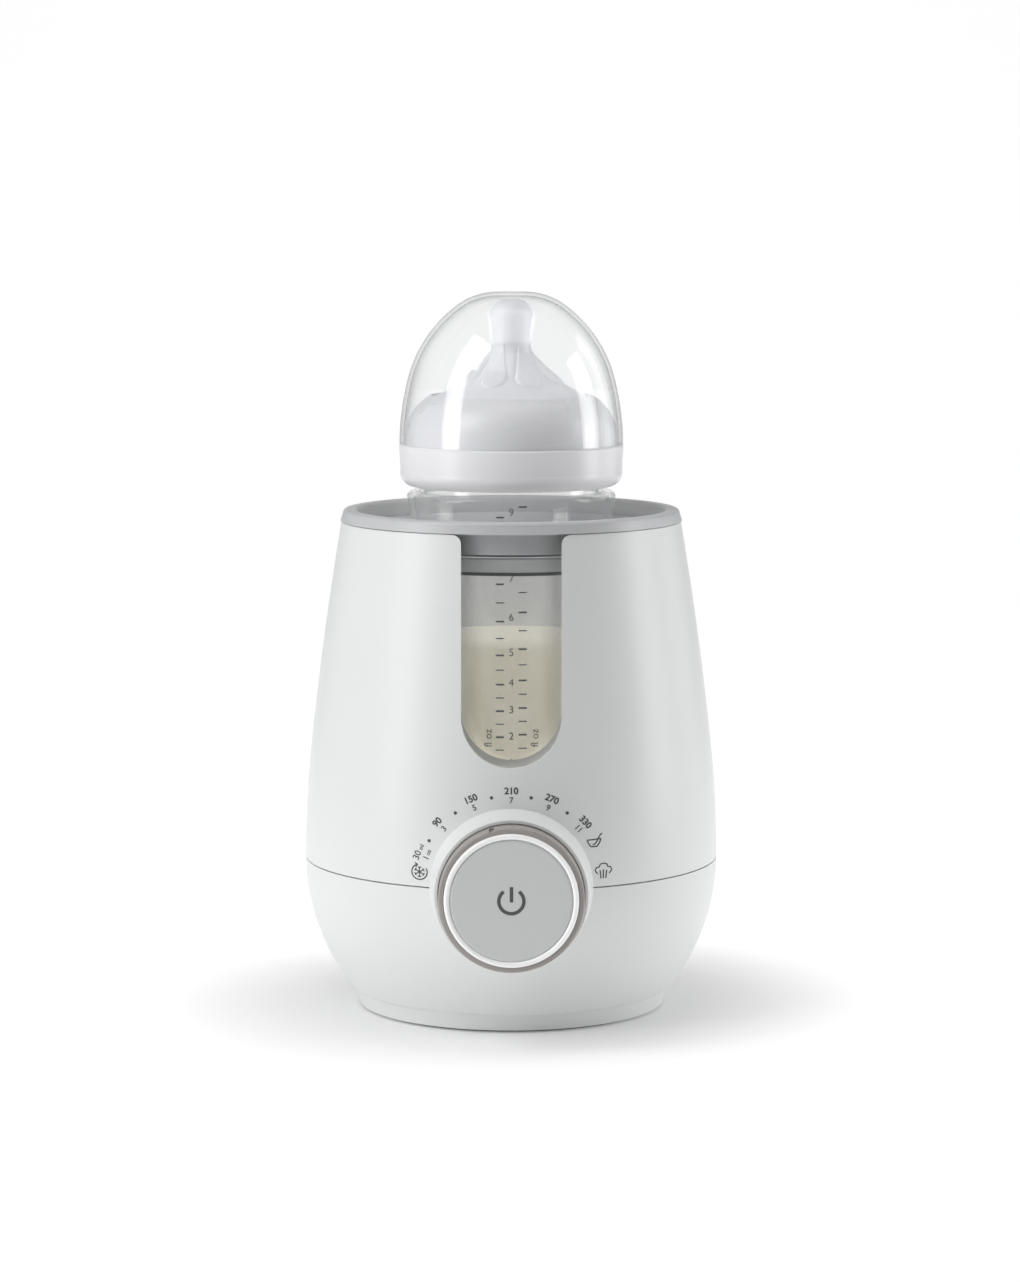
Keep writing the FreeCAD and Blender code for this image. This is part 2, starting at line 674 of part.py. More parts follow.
# ---- heater under the well

def heater():
    """Plate, seal, ring element with its pins, thermostat, fuse and the clamp that holds them up."""
    raised = s.drain_radius - s.gap * 2
    keep(turned("heater_plate", [
        (0, heater_underside), (heater_radius, heater_underside), (heater_radius, heater_top),
        (raised, heater_top), (raised, s.well_floor - s.heater_step), (0, s.well_floor - s.heater_step)]))
    seal_in = s.drain_radius + s.gap
    keep(turned("plate_seal", [(seal_in, heater_top), (seal_in + s.seal_width, heater_top),
                               (seal_in + s.seal_width, floor_underside), (seal_in, floor_underside)]))
    centre = heater_underside - s.element_radius
    loop = primitive("Torus", "element_loop", (0, 0, centre), Radius1=s.element_ring,
                     Radius2=s.element_radius, Angle3=s.element_sweep)
    turn = 90 + (360 - s.element_sweep.number) / 2
    loop.Placement = FreeCAD.Placement(Vector(0, 0, centre.number), FreeCAD.Rotation(Vector(0, 0, 1), turn))
    bind(loop, "Placement.Base.z", centre)
    ends = element_ends()
    pins = [primitive("Cylinder", f"element_pin_{side}", (x, y, centre - s.pin_length),
                      Radius=s.pin_radius, Height=s.pin_length) for side, (x, y) in enumerate(ends)]
    keep(fused("heating_element", [loop, *pins]))
    can = heater_underside - s.thermostat_height
    keep(turned("thermostat", [
        (0, can), (s.thermostat_radius - 1, can), (s.thermostat_radius, can + 1),
        (s.thermostat_radius, heater_underside), (0, heater_underside)]))
    lead = s.fuse_radius / 3
    fuse = turned("thermal_fuse", [
        (0, 0), (lead, 0), (lead, s.fuse_length * 0.2), (s.fuse_radius, s.fuse_length * 0.25),
        (s.fuse_radius, s.fuse_length * 0.8), (lead, s.fuse_length * 0.85), (lead, s.fuse_length),
        (0, s.fuse_length)])
    fuse.Placement = FreeCAD.Placement(Vector(), FreeCAD.Rotation(Vector(0, 1, 0), 90))
    bind(fuse, "Placement.Base.x", -s.fuse_length / 2)
    bind(fuse, "Placement.Base.y", -(s.thermostat_radius + s.fuse_radius + 1))
    bind(fuse, "Placement.Base.z", heater_underside - s.fuse_radius - s.slip)
    keep(fuse)
    wall = heater_radius - s.gap
    clamp = turned("heater_clamp", [
        (wall - s.clamp_wall - 3, clamp_height), (clamp_post_ring + s.head_radius, clamp_height),
        (clamp_post_ring + s.head_radius, clamp_height + s.clamp_wall - s.slip),
        (wall, clamp_height + s.clamp_wall - s.slip), (wall, heater_underside),
        (wall - s.clamp_wall, heater_underside), (wall - s.clamp_wall, clamp_height + s.clamp_wall - s.slip),
        (wall - s.clamp_wall - 3, clamp_height + s.clamp_wall - s.slip)])
    hole = pocket(clamp, "ScrewHole", "XY_Plane", clamp_height + s.clamp_wall * 2, None,
                  circle(0, clamp_post_ring, s.screw_radius + s.slip))
    around(clamp, hole, s.clamp_screws)
    keep(clamp)


def element_ends():
    """The two ends of the open ring element, either side of the back."""
    half = math.radians((360 - s.element_sweep.number) / 2)
    return [(s.element_ring * math.sin(half), s.element_ring * math.cos(half)),
            (-s.element_ring * math.sin(half), s.element_ring * math.cos(half))]


# ---- dial, light ring and power button, all turned about the dial's own axis

def leg_places():
    """Where the front board's screws stand, across and up from the dial's axis."""
    margin = s.head_radius + s.part_margin / 2
    across = s.board_width / 2 - margin
    high, low = s.switch_side - margin, s.switch_side - s.front_board_height + margin
    return [(across, high), (-across, high), (-across, low), (across, low)]


def dial():
    chamfer = s.gap * 2
    lip_bore = s.stem_radius + s.gap
    cup = turned("dial_bezel", [
        (guide_radius, cup_back), (cup_flange_radius, cup_back), (cup_flange_radius, cup_seat),
        (bezel_radius, cup_seat), (bezel_radius, cup_front - chamfer), (bezel_radius - chamfer, cup_front),
        (bezel_radius - s.bezel_wall + s.gap, cup_front), (bezel_radius - s.bezel_wall, cup_front - s.gap),
        (bezel_radius - s.bezel_wall, cup_seat), (guide_radius, cup_seat), (guide_radius, guide_front),
        (s.guide_bore, guide_front), (s.guide_bore, cup_back), (lip_bore, cup_back), (lip_bore, guide_back),
        (guide_radius, guide_back)])
    for place, (x, y) in enumerate(leg_places()):
        pad(cup, f"Leg{place}", "XY_Plane", front_board_face, cup_back - front_board_face + s.slip,
            circle(x, y, s.screw_radius + s.post_wall / 2))
        pocket(cup, f"LegHole{place}", "XY_Plane", front_board_face, cup_back - front_board_face - s.gap,
               circle(x, y, s.screw_radius + s.slip), reverse=True)
    keep(on_dial(cup))
    inside = s.knob_radius - s.knob_wall
    back = cup_seat + s.gap * 2
    hub_bore = guide_radius + s.running
    hub = hub_bore + s.hub_wall
    web = web_back + s.web_wall
    bend = s.gap * 2.6
    skirt = turned("dial_knob", [
        (s.knob_radius, back), (s.knob_radius, knob_front - bend),
        Via(s.knob_radius - bend * (1 - math.sqrt(0.5)), knob_front - bend * (1 - math.sqrt(0.5))),
        (s.knob_radius - bend, knob_front), (inside, knob_front), (inside, web), (hub, web),
        (hub, back + s.hub_length), (hub_bore, back + s.hub_length), (hub_bore, back), (hub, back),
        (hub, web_back), (inside, web_back), (inside, back)])
    half = s.pointer_width / 2
    ring = s.knob_radius - s.pointer_depth
    pocket(skirt, "Pointer", "XY_Plane", knob_front, s.pointer_length,
           rectangle(-half, ring, half, s.knob_radius + 1))
    on_dial(skirt)
    skirt.Placement = FreeCAD.Placement(skirt.Placement.Base, skirt.Placement.Rotation.multiply(
        FreeCAD.Rotation(Vector(0, 0, 1), s.pointer_angle.number)))
    bind(skirt, "Placement.Base.z", s.seam_height)
    keep(skirt)
    wheel_in, wheel_out = hub + s.gap * 4, inside - s.gap * 3
    wheel = turned("code_wheel", [(wheel_in, web_back - s.code_wall), (wheel_out, web_back - s.code_wall),
                                  (wheel_out, web_back), (wheel_in, web_back)])
    half = s.vent_width / 4
    tooth = pocket(wheel, "Slot", "XY_Plane", web_back, None,
                   rectangle(wheel_out - s.hub_wall, -half, wheel_out + s.gap, half))
    around(wheel, tooth, s.code_teeth)
    keep(on_dial(wheel))
    reader = primitive("Box", "encoder_reader", (-s.switch_side / 2, -(cup_seat + s.gap * 6),
                                                 s.seam_height + wheel_in + s.gap),
                       Length=s.switch_side, Width=s.gap * 5.5, Height=wheel_out - wheel_in - s.gap * 2)
    keep(reader)


def light_ring():
    """Frosted ring round the button, on a disc that sits on the guide tube."""
    bend = s.light_wall / 2
    bore = guide_radius + s.running
    guide = turned("light_guide", [
        (bore, light_seat), (light_radius, light_seat), (light_radius, light_front - bend),
        Via(light_radius - bend, light_front), (light_radius - s.light_wall, light_front - bend),
        (light_radius - s.light_wall, light_seat + s.light_floor), (bore, light_seat + s.light_floor)])
    keep(on_dial(guide))
    board_front = light_seat - s.gap * 4
    board = turned("led_board", [
        (bore, board_front - s.board_wall / 2), (button_radius, board_front - s.board_wall / 2),
        (button_radius, board_front), (bore, board_front)])
    keep(on_dial(board))
    led = turned("one_led", [(0, board_front), (s.gap * 4, board_front), (s.gap * 4, board_front + s.gap * 3),
                             (0, board_front + s.gap * 3)])
    keep(on_dial(copies_around("indicator_leds", led, s.led_count, (button_radius + bore) / 2)))


def power_button():
    """Round cap with a short skirt, a stem with a sliding collar, and its return spring."""
    back = button_front - s.button_wall
    collar = guide_front - s.gap * 10
    bend = s.gap * 2
    stem_end = guide_back - s.gap
    button = turned("power_button", [
        (0, stem_end), (s.stem_radius, stem_end), (s.stem_radius, collar - s.collar_height),
        (s.guide_bore - s.slip, collar - s.collar_height), (s.guide_bore - s.slip, collar),
        (s.stem_radius, collar), (s.stem_radius, back),
        (button_radius - s.button_wall, back), (button_radius - s.button_wall, button_front - s.button_skirt),
        (button_radius, button_front - s.button_skirt), (button_radius, button_front - bend),
        Via(button_radius - bend * (1 - math.sqrt(0.5)), button_front - bend * (1 - math.sqrt(0.5))),
        (button_radius - bend, button_front), (0, button_front)])
    keep(on_dial(button))
    length = (collar - s.collar_height - s.slip * 2 - cup_back - s.coil_wire).number
    radius = (s.stem_radius.number + s.guide_bore.number) / 2
    line = Part.makeHelix(length / s.coil_turns.number, length, radius)
    line.translate(Vector(0, 0, (cup_back + s.slip + s.coil_wire / 2).number))
    section = Part.Circle(line.Vertexes[0].Point, Vector(0, 1, 0), s.coil_wire.number / 2).toShape()
    coil = Part.Wire(line.Edges).makePipeShell([Part.Wire(section)], True, True)
    keep(on_dial(free_shape("button_spring", coil)))


# ---- circuit boards and what stands on them

def boards():
    width = s.board_width
    board = body("control_board")
    back = front_board_face - s.board_wall
    pad(board, "Board", "XY_Plane", back, s.board_wall,
        rectangle(-width / 2, s.switch_side - s.front_board_height, width / 2, s.switch_side))
    for place, (x, y) in enumerate(leg_places()):
        pocket(board, f"Hole{place}", "XY_Plane", front_board_face, None,
               circle(x, y, s.screw_radius + s.slip))
    keep(on_dial(board))
    screw = turned("front_screw", [
        (0, back - s.head_height), (s.head_radius, back - s.head_height), (s.head_radius, back),
        (s.screw_radius, back), (s.screw_radius, cup_back - s.gap * 3), (0, cup_back - s.gap * 2)])
    keep(on_dial(copies_at("front_screws", screw, leg_places())))
    base = primitive("Box", "switch_case", (-s.switch_side / 2, -(front_board_face + s.switch_height),
                                            s.seam_height - s.switch_side / 2),
                     Length=s.switch_side, Width=s.switch_height, Height=s.switch_side)
    plunger = turned("switch_plunger", [(0, front_board_face + s.switch_height / 2),
                                        (s.stem_radius / 2, front_board_face + s.switch_height / 2),
                                        (s.stem_radius / 2, front_board_face + s.switch_height + s.gap * 2),
                                        (0, front_board_face + s.switch_height + s.gap * 2)])
    keep(fused("power_switch", [base, on_dial(plunger)]))
    low = s.power_board_height
    power = body("power_board")
    pad(power, "Board", "XY_Plane", low, s.board_wall,
        rectangle(-width / 2, -s.board_depth / 2, width / 2, s.board_depth / 2))
    across, back = board_corner()
    for place, (x, y) in enumerate([(across, back), (-across, back), (-across, -back), (across, -back)]):
        pocket(power, f"Hole{place}", "XY_Plane", low + s.board_wall, None,
               circle(x, y, s.screw_radius + s.slip))
    keep(power)
    face = low + s.board_wall
    keep(primitive("Box", "transformer", (-across + s.head_radius + s.part_margin, -9, face),
                   Length=15, Width=18, Height=14))
    keep(primitive("Box", "heater_relay", (s.part_margin, -9, face), Length=12, Width=9, Height=15))
    keep(primitive("Cylinder", "smoothing_capacitor", (7, 5.5, face), Radius=4, Height=12))
    block = body("terminal_block")
    pad(block, "Block", "XY_Plane", face, 9, rectangle(-10, 10, 10, s.board_depth / 2))
    for place in range(3):
        pocket(block, f"Screw{place}", "XY_Plane", face + 9, 3, circle(-6 + 6 * place, 13.5, 1.6))
    keep(block)


def wiring():
    """Two leads from the terminal block to the heater's pins, and the ribbon between the two boards."""
    face = (s.power_board_height + s.board_wall).number + 9
    pin_end = (heater_underside - s.element_radius - s.pin_length).number
    radius = s.lead_radius.number
    tubes = []
    for x, y in element_ends():
        side = 1 if x.number > 0 else -1
        route = [(side * 6, 13.5, face - 2.5), (side * 6, 13.5, face + 9),
                 (x.number, y.number, pin_end - 9), (x.number, y.number, pin_end - 0.2)]
        tubes.append(round_tube(route, radius))
    keep(free_shape("heater_leads", Part.makeCompound(tubes)))
    thick = s.gap * 3
    top = s.seam_height + s.switch_side - s.front_board_height
    board_back = -front_board_face + s.board_wall
    foot = s.power_board_height + s.board_wall
    front = -s.board_depth / 2 + s.part_margin
    ribbon = body("ribbon_cable")
    high = top + s.head_radius * 2
    drawing = sketch(ribbon, "Side", "YZ_Plane", s.screw_radius + s.post_wall + s.part_margin)
    draw_outline(drawing, [
        (board_back, high), (board_back, foot + s.part_margin * 2), (board_back + s.part_margin * 2, foot),
        (front, foot), (front, foot + thick), (board_back + s.part_margin * 2 + thick / 2, foot + thick),
        (board_back + thick, foot + s.part_margin * 2 + thick / 2), (board_back + thick, high)])
    feature(ribbon, "Pad", "Width", drawing, s.ribbon_width)
    keep(ribbon)


def cord_gland():
    """Bush in the back of the bowl that the mains cord comes out of."""
    outside = s.cord_bore + s.gland_wall
    drop = lower_seam - s.cord_height
    reach = lower_seam - bowl_height
    bend = (reach * reach + bowl_inset * bowl_inset) / (2 * bowl_inset)
    face = belly_radius - bend + root(bend * bend - drop * drop)
    back = face - s.gland_inside
    front = face + s.gland_proud
    flange = outside + s.gland_flange
    gland = turned("cord_gland", [
        (s.cord_bore, back), (flange, back), (flange, back + s.gland_flange),
        (outside, back + s.gland_flange), (outside, front - s.gap), (outside - s.gap, front),
        (s.cord_bore, front)])
    gland.Placement = FreeCAD.Placement(Vector(), FreeCAD.Rotation(Vector(1, 0, 0), -90))
    bind(gland, "Placement.Base.z", s.cord_height)
    keep(gland)


# ---- bottle, milk, teat, ring and cap

def bottle():
    foot, wall = bottle_foot, s.bottle_wall
    shoulder = s.bottle_radius - s.shoulder_inset
    bend = s.bottle_round * (1 - math.sqrt(0.5))
    inner_round = s.bottle_round - wall
    inner_bend = inner_round * (1 - math.sqrt(0.5))
    inner = s.bottle_radius - wall
    bore = neck_radius - wall
    outer_side, inner_side = bottle_side(0), bottle_side(wall)
    low_flare = s.waist_height + (s.shoulder_height - s.waist_height) / 2
    middle = s.bottle_radius - (s.waist_inset + s.shoulder_inset) / 2 - s.gap
    shell = turned("bottle_shell", [
        (0, foot), (s.bottle_radius - s.bottle_round, foot), Via(s.bottle_radius - bend, foot + bend),
        *outer_side, Via(middle, low_flare), (shoulder, s.shoulder_height),
        Via(shoulder - s.gap, s.shoulder_height + s.gap * 4),
        (shoulder - s.gap * 5, s.shoulder_height + s.gap * 6),
        (neck_radius, s.shoulder_height + s.gap * 7), (neck_radius, s.neck_height), (bore, s.neck_height),
        (bore, s.shoulder_height + s.gap * 4), (shoulder - wall - s.gap * 2, s.shoulder_height),
        Via(middle - wall - s.gap, low_flare), *inner_side[::-1],
        Via(inner - inner_bend, foot + wall + inner_bend), (inner - inner_round, foot + wall),
        (0, foot + wall)])
    rib = s.neck_height - s.shoulder_height
    for turn in range(2):
        height = s.shoulder_height + rib * (0.45 + 0.25 * turn)
        drawing = sketch(shell, f"Thread{turn}", "XZ_Plane")
        draw_outline(drawing, [(neck_radius - wall / 2, height), (neck_radius, height),
                               (neck_radius + s.thread_depth, height + s.thread_depth),
                               (neck_radius + s.thread_depth, height + s.thread_depth * 2),
                               (neck_radius, height + s.thread_depth * 3),
                               (neck_radius - wall / 2, height + s.thread_depth * 3)])
        band = shell.newObject("PartDesign::Revolution", f"ThreadBand{turn}")
        band.Profile = drawing
        band.ReferenceAxis = (drawing, ["V_Axis"])
        band.Angle = 360
        doc.recompute()
    keep(shell)
    inset = wall + s.slip / 2
    side = bottle_side(inset)[:4]
    milk_round = s.bottle_round - inset
    milk_bend = milk_round * (1 - math.sqrt(0.5))
    low = foot + inset
    keep(turned("milk", [(0, low), (s.bottle_radius - inset - milk_round, low),
                         Via(s.bottle_radius - inset - milk_bend, low + milk_bend), *side,
                         (0, s.milk_height)]))


def screw_ring():
    """White ring with a domed top: a hole for the teat, and a bore that goes over the neck."""
    bore = neck_radius + s.thread_depth + s.gap * 1.5
    ledge = ring_radius - s.cap_wall - s.gap * 1.5
    dome = s.ring_top - s.ring_seam
    keep(turned("screw_ring", [
        (bore, s.ring_foot), (ring_radius - 4, s.ring_foot), Via(ring_radius - 1.4, s.ring_foot + 1.4),
        (ring_radius - 0.4, s.ring_foot + 5), (ring_radius, s.ring_seam - s.gap),
        (ring_radius - s.gap, s.ring_seam), (ledge, s.ring_seam),
        Via(ledge - (ledge - s.ring_hole) * 0.25, s.ring_seam + dome * 0.62), (s.ring_hole + 0.8, s.ring_top),
        (s.ring_hole, s.ring_top - 0.7), (s.ring_hole, s.ring_top - 1.9),
        Via(bore - 1.6, s.ring_seam + dome * 0.5), (bore, s.ring_seam + 2.6)]))


def teat():
    """Silicone teat: a flange on the neck, a dome under the ring and a soft nipple above it."""
    wall = s.teat_wall
    flange = neck_radius + s.slip
    low = s.neck_height + s.slip
    edge = s.ring_hole - s.gap
    dome = s.ring_top - s.ring_seam
    bulb = s.teat_top - s.teat_radius * 0.75
    neck = s.teat_neck
    slim = bulb - 7
    cone = s.ring_top + 3
    keep(turned("teat", [
        (flange - 4, low), (flange, low), (flange, low + 2), (flange - 0.4, s.ring_seam + 2.8),
        Via(flange - 2.4, s.ring_seam + dome * 0.5), (edge, s.ring_top - 2.1), (edge - 0.8, s.ring_top - 0.3),
        (edge - 7, cone), Via(neck + 4.9, cone + 5.2), (neck + 0.5, slim - 4.5), Via(neck - 0.1, slim),
        (s.teat_radius, bulb), Via(s.teat_radius * 0.78, s.teat_top - s.teat_radius * 0.21),
        (s.teat_tip, s.teat_top), (0, s.teat_top), (0, s.teat_top - wall), (s.teat_tip, s.teat_top - wall),
        Via((s.teat_radius - wall) * 0.76, s.teat_top - wall - s.teat_radius * 0.22),
        (s.teat_radius - wall, bulb - 0.3), Via(neck - wall - 0.1, slim), (neck + 0.5 - wall, slim - 4.5),
        Via(neck + 4.9 - wall * 0.75, cone + 5.2 - wall * 0.75), (edge - 7 - wall * 0.5, cone - wall),
        (edge - 1.6 - wall * 0.5, s.ring_top - 0.6 - wall),
        Via(flange - 4.6, s.ring_seam + dome * 0.45), (flange - 4, low + 2)]))


def dome_cap():
    """Clear dome that sits on the ring's ledge."""
    wall = s.cap_wall
    outside = ring_radius - s.gap * 0.3
    foot = s.ring_seam + s.gap
    rise = s.cap_top - foot
    knee_radius, knee_height = outside * 0.4375, s.cap_top - 3.1
    hip_radius, hip_height = outside * 0.926, foot + rise * 0.42
    keep(turned("dome_cap", [
        (0, s.cap_top), (s.cap_flat, s.cap_top), Via(outside * 0.281, s.cap_top - 0.79),
        (knee_radius, knee_height),
        Via(outside * 0.745, foot + rise * 0.715), (hip_radius, hip_height),
        Via(outside * 0.982, foot + rise * 0.2), (outside, foot), (outside - wall, foot),
        Via((outside - wall) * 0.981, foot + rise * 0.2),
        (hip_radius - wall * 0.97, hip_height - wall * 0.25),
        Via(outside * 0.745 - wall * 0.82, foot + rise * 0.715 - wall * 0.57),
        (knee_radius - wall * 0.52, knee_height - wall * 0.86),
        Via(outside * 0.273, s.cap_top - wall - 0.76),
        (s.cap_flat, s.cap_top - wall), (0, s.cap_top - wall)]))


def main():
    post_ring = lower_housing()
    upper_housing()
    base_plate(post_ring)
    foot_ring()
    rim_collar()
    water_well()
    windows()
    heater()
    dial()
    light_ring()
    power_button()
    boards()
    cord_gland()
    screws(post_ring)
    wiring()
    bottle()
    screw_ring()
    teat()
    dome_cap()
    doc.recompute()
    for thing in doc.Objects:
        if "Invalid" in thing.State or "Error" in thing.State:
            raise ValueError(f"{thing.Label}: {thing.State}")
    os.makedirs("parts", exist_ok=True)
    for label, piece in sorted(pieces.items()):
        shape = piece.Shape
        if shape.isNull() or not shape.isValid() or not shape.Solids or shape.Volume <= 0:
            raise ValueError(f"{label} isn't a good solid")
        shape.exportStep(f"parts/{label}.step")
    print(f"{len(pieces)} nodes, {sum(len(p.Shape.Solids) for p in pieces.values())} solids")


main()
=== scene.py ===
import json
import math

import bmesh
import bpy
from mathutils import Matrix, Vector
from mathutils.bvhtree import BVHTree


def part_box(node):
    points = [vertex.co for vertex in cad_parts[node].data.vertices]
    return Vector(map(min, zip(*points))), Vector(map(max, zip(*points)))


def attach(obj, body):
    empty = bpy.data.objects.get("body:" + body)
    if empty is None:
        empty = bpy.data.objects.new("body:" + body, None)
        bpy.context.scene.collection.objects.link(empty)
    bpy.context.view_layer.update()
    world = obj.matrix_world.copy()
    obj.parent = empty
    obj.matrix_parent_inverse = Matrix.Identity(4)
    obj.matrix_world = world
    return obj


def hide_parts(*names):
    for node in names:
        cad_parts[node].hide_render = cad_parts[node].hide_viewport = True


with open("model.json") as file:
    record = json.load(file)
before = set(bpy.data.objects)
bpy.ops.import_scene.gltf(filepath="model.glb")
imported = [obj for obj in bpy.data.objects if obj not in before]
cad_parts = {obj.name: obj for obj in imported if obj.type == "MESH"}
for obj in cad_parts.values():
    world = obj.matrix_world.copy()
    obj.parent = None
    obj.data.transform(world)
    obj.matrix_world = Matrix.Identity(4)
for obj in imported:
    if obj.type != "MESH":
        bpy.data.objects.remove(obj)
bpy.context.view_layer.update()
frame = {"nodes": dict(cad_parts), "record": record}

scene = bpy.context.scene
mm = 0.001


# camera: a long lens, a little above the rim

shot = {
    "distance": 1.22,
    "height": 0.261,
    "across": -0.0004,
    "pitch": 6.8,
    "lens": 109.2,
    "sensor": 36,
    "clearBounces": 48,    # clear walls that one line of sight may cross
}


def placeCamera():
    camera = bpy.data.objects.new("camera", bpy.data.cameras.new("camera"))
    scene.collection.objects.link(camera)
    camera.data.lens = shot["lens"]
    camera.data.sensor_width = shot["sensor"]
    camera.location = (shot["across"], -shot["distance"], shot["height"])
    camera.rotation_euler = (math.radians(90 - shot["pitch"]), 0, 0)
    scene.camera = camera
    scene.view_settings.view_transform = "Standard"
    scene.cycles.transparent_max_bounces = shot["clearBounces"]


placeCamera()
print("camera placed")


# shader maths: a Flow is an output socket that can stand in a Python sum

class Flow:
    def __init__(self, finish, socket):
        self.finish, self.socket = finish, socket

    def maths(self, operation, *values):
        return self.finish.add("ShaderNodeMath", {"operation": operation}, dict(enumerate(values)))

    def __add__(self, other):
        return self.maths("ADD", self, other)

    def __sub__(self, other):
        return self.maths("SUBTRACT", self, other)

    def __rsub__(self, other):
        return self.maths("SUBTRACT", other, self)

    def __mul__(self, other):
        return self.maths("MULTIPLY", self, other)

    def __pow__(self, other):
        return self.maths("POWER", self, other)

    def __abs__(self):
        return self.maths("ABSOLUTE", self)

    __radd__ = __add__
    __rmul__ = __mul__


class Finish:
    # the nodes of one material or world, and the one way that they are added
    def __init__(self, name, kind="materials"):
        self.owner = getattr(bpy.data, kind).new(name)
        self.owner.use_nodes = True
        self.tree = self.owner.node_tree
        self.tree.nodes.clear()

    def add(self, kind, settings=None, sockets=None, out=0):
        node = self.tree.nodes.new(kind)
        for name, value in (settings or {}).items():
            setattr(node, name, value)
        for name, value in (sockets or {}).items():
            if isinstance(value, Flow):
                self.tree.links.new(value.socket, node.inputs[name])
            else:
                node.inputs[name].default_value = value
        return Flow(self, node.outputs[out]) if node.outputs else node

    def place(self):
        return self.add("ShaderNodeTexCoord", out="Object")

    def along(self, axis):
        return self.add("ShaderNodeSeparateXYZ", sockets={"Vector": self.place()}, out=axis)

    def turning(self):
        # 0 where the surface faces the eye, 1 where it is seen edge on
        return self.add("ShaderNodeLayerWeight", sockets={"Blend": 0.5}, out="Facing")

    def noise(self, scale, detail=2.0, stretch=(1, 1, 1)):
        stretched = self.add("ShaderNodeMapping", sockets={"Vector": self.place(), "Scale": stretch})
        return self.add("ShaderNodeTexNoise", sockets={"Vector": stretched, "Scale": scale, "Detail": detail})

    def eased(self, value, start, end, most=1.0, ease="SMOOTHSTEP"):
        return self.add("ShaderNodeMapRange", {"interpolation_type": ease}, {
            "Value": value, "From Min": start, "From Max": end, "To Max": most})

    def shades(self, amount, dark, light):
        return self.add("ShaderNodeMix", {"data_type": "RGBA"}, {"Factor": amount, 6: dark, 7: light}, out=2)

    def bump(self, height, strength, depth=0.2 * mm):
        return self.add("ShaderNodeBump", sockets={"Height": height, "Strength": strength, "Distance": depth})

    def blended(self, amount, first, second):
        return self.add("ShaderNodeMixShader", sockets={0: amount, 1: first, 2: second})

    def finished(self, surface, output="ShaderNodeOutputMaterial"):
        self.add(output, sockets={"Surface": surface})
        return self.owner


def rgb(red, green, blue, factor=1.0):
    return (red * factor, green * factor, blue * factor, 1.0)


# moulded plastic: a fine spark-eroded grain, faint flow marks and a little unevenness in the gloss
def moulded(name, colour, roughness, grain=0.06, grainScale=1700, unevenness=0.05, coat=0.0, glow=0.0):
    made = Finish(name)
    cloud = made.noise(14, 3)
    tone = made.shades(cloud, rgb(*colour, 0.965), rgb(*colour, 1.02))
    gloss = made.noise(55, 4) * unevenness + (roughness - unevenness / 2)
    texture = made.noise(grainScale, 2)
    shader = made.add("ShaderNodeBsdfPrincipled", sockets={
        "Base Color": tone, "Roughness": gloss, "Coat Weight": coat, "Coat Roughness": 0.12,
        "Emission Color": rgb(1, 1, 1), "Emission Strength": glow,
        "Normal": made.bump(texture, grain)})
    return made.finished(shader)


# rubber: matte, with a faint bloom
def rubbery(name, colour):
    made = Finish(name)
    bloom = made.noise(90, 5)
    tone = made.shades(bloom, rgb(*colour, 0.85), rgb(*colour, 1.2))
    shader = made.add("ShaderNodeBsdfPrincipled", sockets={
        "Base Color": tone, "Roughness": 0.62 + bloom * 0.2,
        "Normal": made.bump(made.noise(2600, 2), 0.15)})
    return made.finished(shader)


# metal: fine lines from rolling or turning, and a few duller patches
def metallic(name, colour, roughness, stretch=(1, 1, 30), tarnish=0.15):
    made = Finish(name)
    lines = made.noise(420, 4, stretch)
    patches = made.noise(45, 4)
    tone = made.shades(patches, rgb(*colour, 1 - tarnish), rgb(*colour))
    shader = made.add("ShaderNodeBsdfPrincipled", sockets={
        "Base Color": tone, "Metallic": 1.0, "Roughness": lines * 0.16 + (roughness - 0.08),
        "Normal": made.bump(lines, 0.12)})
    return made.finished(shader)


clearPlastic = {
    "faceOn": 0.035,
    "edgeOn": 0.8,
    "falloff": 5,
    # where the painted shade at the sides of a lens starts and ends
    "shadeFrom": 8 * mm,
    "shadeTo": 16 * mm,
}


# clear plastic wall: see-through face on, glossier and less clear where it turns away
def clearWall(name, tint, haze, edge, edgePower, edgeTone, roughness=0.04, paintedSideShade=0.0):
    made = Finish(name)
    turning = made.turning()
    shine = turning ** clearPlastic["falloff"] * clearPlastic["edgeOn"] + clearPlastic["faceOn"]
    ripple = made.bump(made.noise(60, 2), 0.04, 0.4 * mm)
    glint = made.add("ShaderNodeBsdfGlossy", sockets={"Color": rgb(1, 1, 1), "Roughness": roughness,
                                                     "Normal": ripple})
    through = made.add("ShaderNodeBsdfTransparent", sockets={"Color": tint})
    body = made.add("ShaderNodeBsdfPrincipled", sockets={"Base Color": edgeTone, "Roughness": 0.3})
    clear = made.blended(shine, through, glint)
    # painted shade: the lens darkens towards both sides, standing in for the window frame's shadow
    side = made.eased(abs(made.along("X")), clearPlastic["shadeFrom"], clearPlastic["shadeTo"], paintedSideShade)
    return made.finished(made.blended(turning ** edgePower * edge + side + haze, clear, body))


# silicone: a faint painted glow lifts the teat
def siliconeFinish():
    made = Finish("silicone")
    cloud = made.noise(70, 3)
    tone = made.shades(cloud, rgb(0.82, 0.83, 0.86), rgb(0.88, 0.89, 0.91))
    body = made.add("ShaderNodeBsdfPrincipled", sockets={
        "Base Color": tone, "Roughness": 0.3 + cloud * 0.1, "Subsurface Weight": 0.35,
        "Emission Color": rgb(1, 1, 1), "Emission Strength": 0.13,
        "Subsurface Radius": (0.004, 0.004, 0.004), "Subsurface Scale": 1.0,
        "Normal": made.bump(made.noise(1500, 2), 0.04)})
    through = made.add("ShaderNodeBsdfTransparent", sockets={"Color": rgb(0.95, 0.96, 0.98)})
    return made.finished(made.blended(made.turning() * 0.25 + 0.62, through, body))


wellPaintedLight = {
    "inner": 41.2 * mm,
    "outer": 42.0 * mm,
}
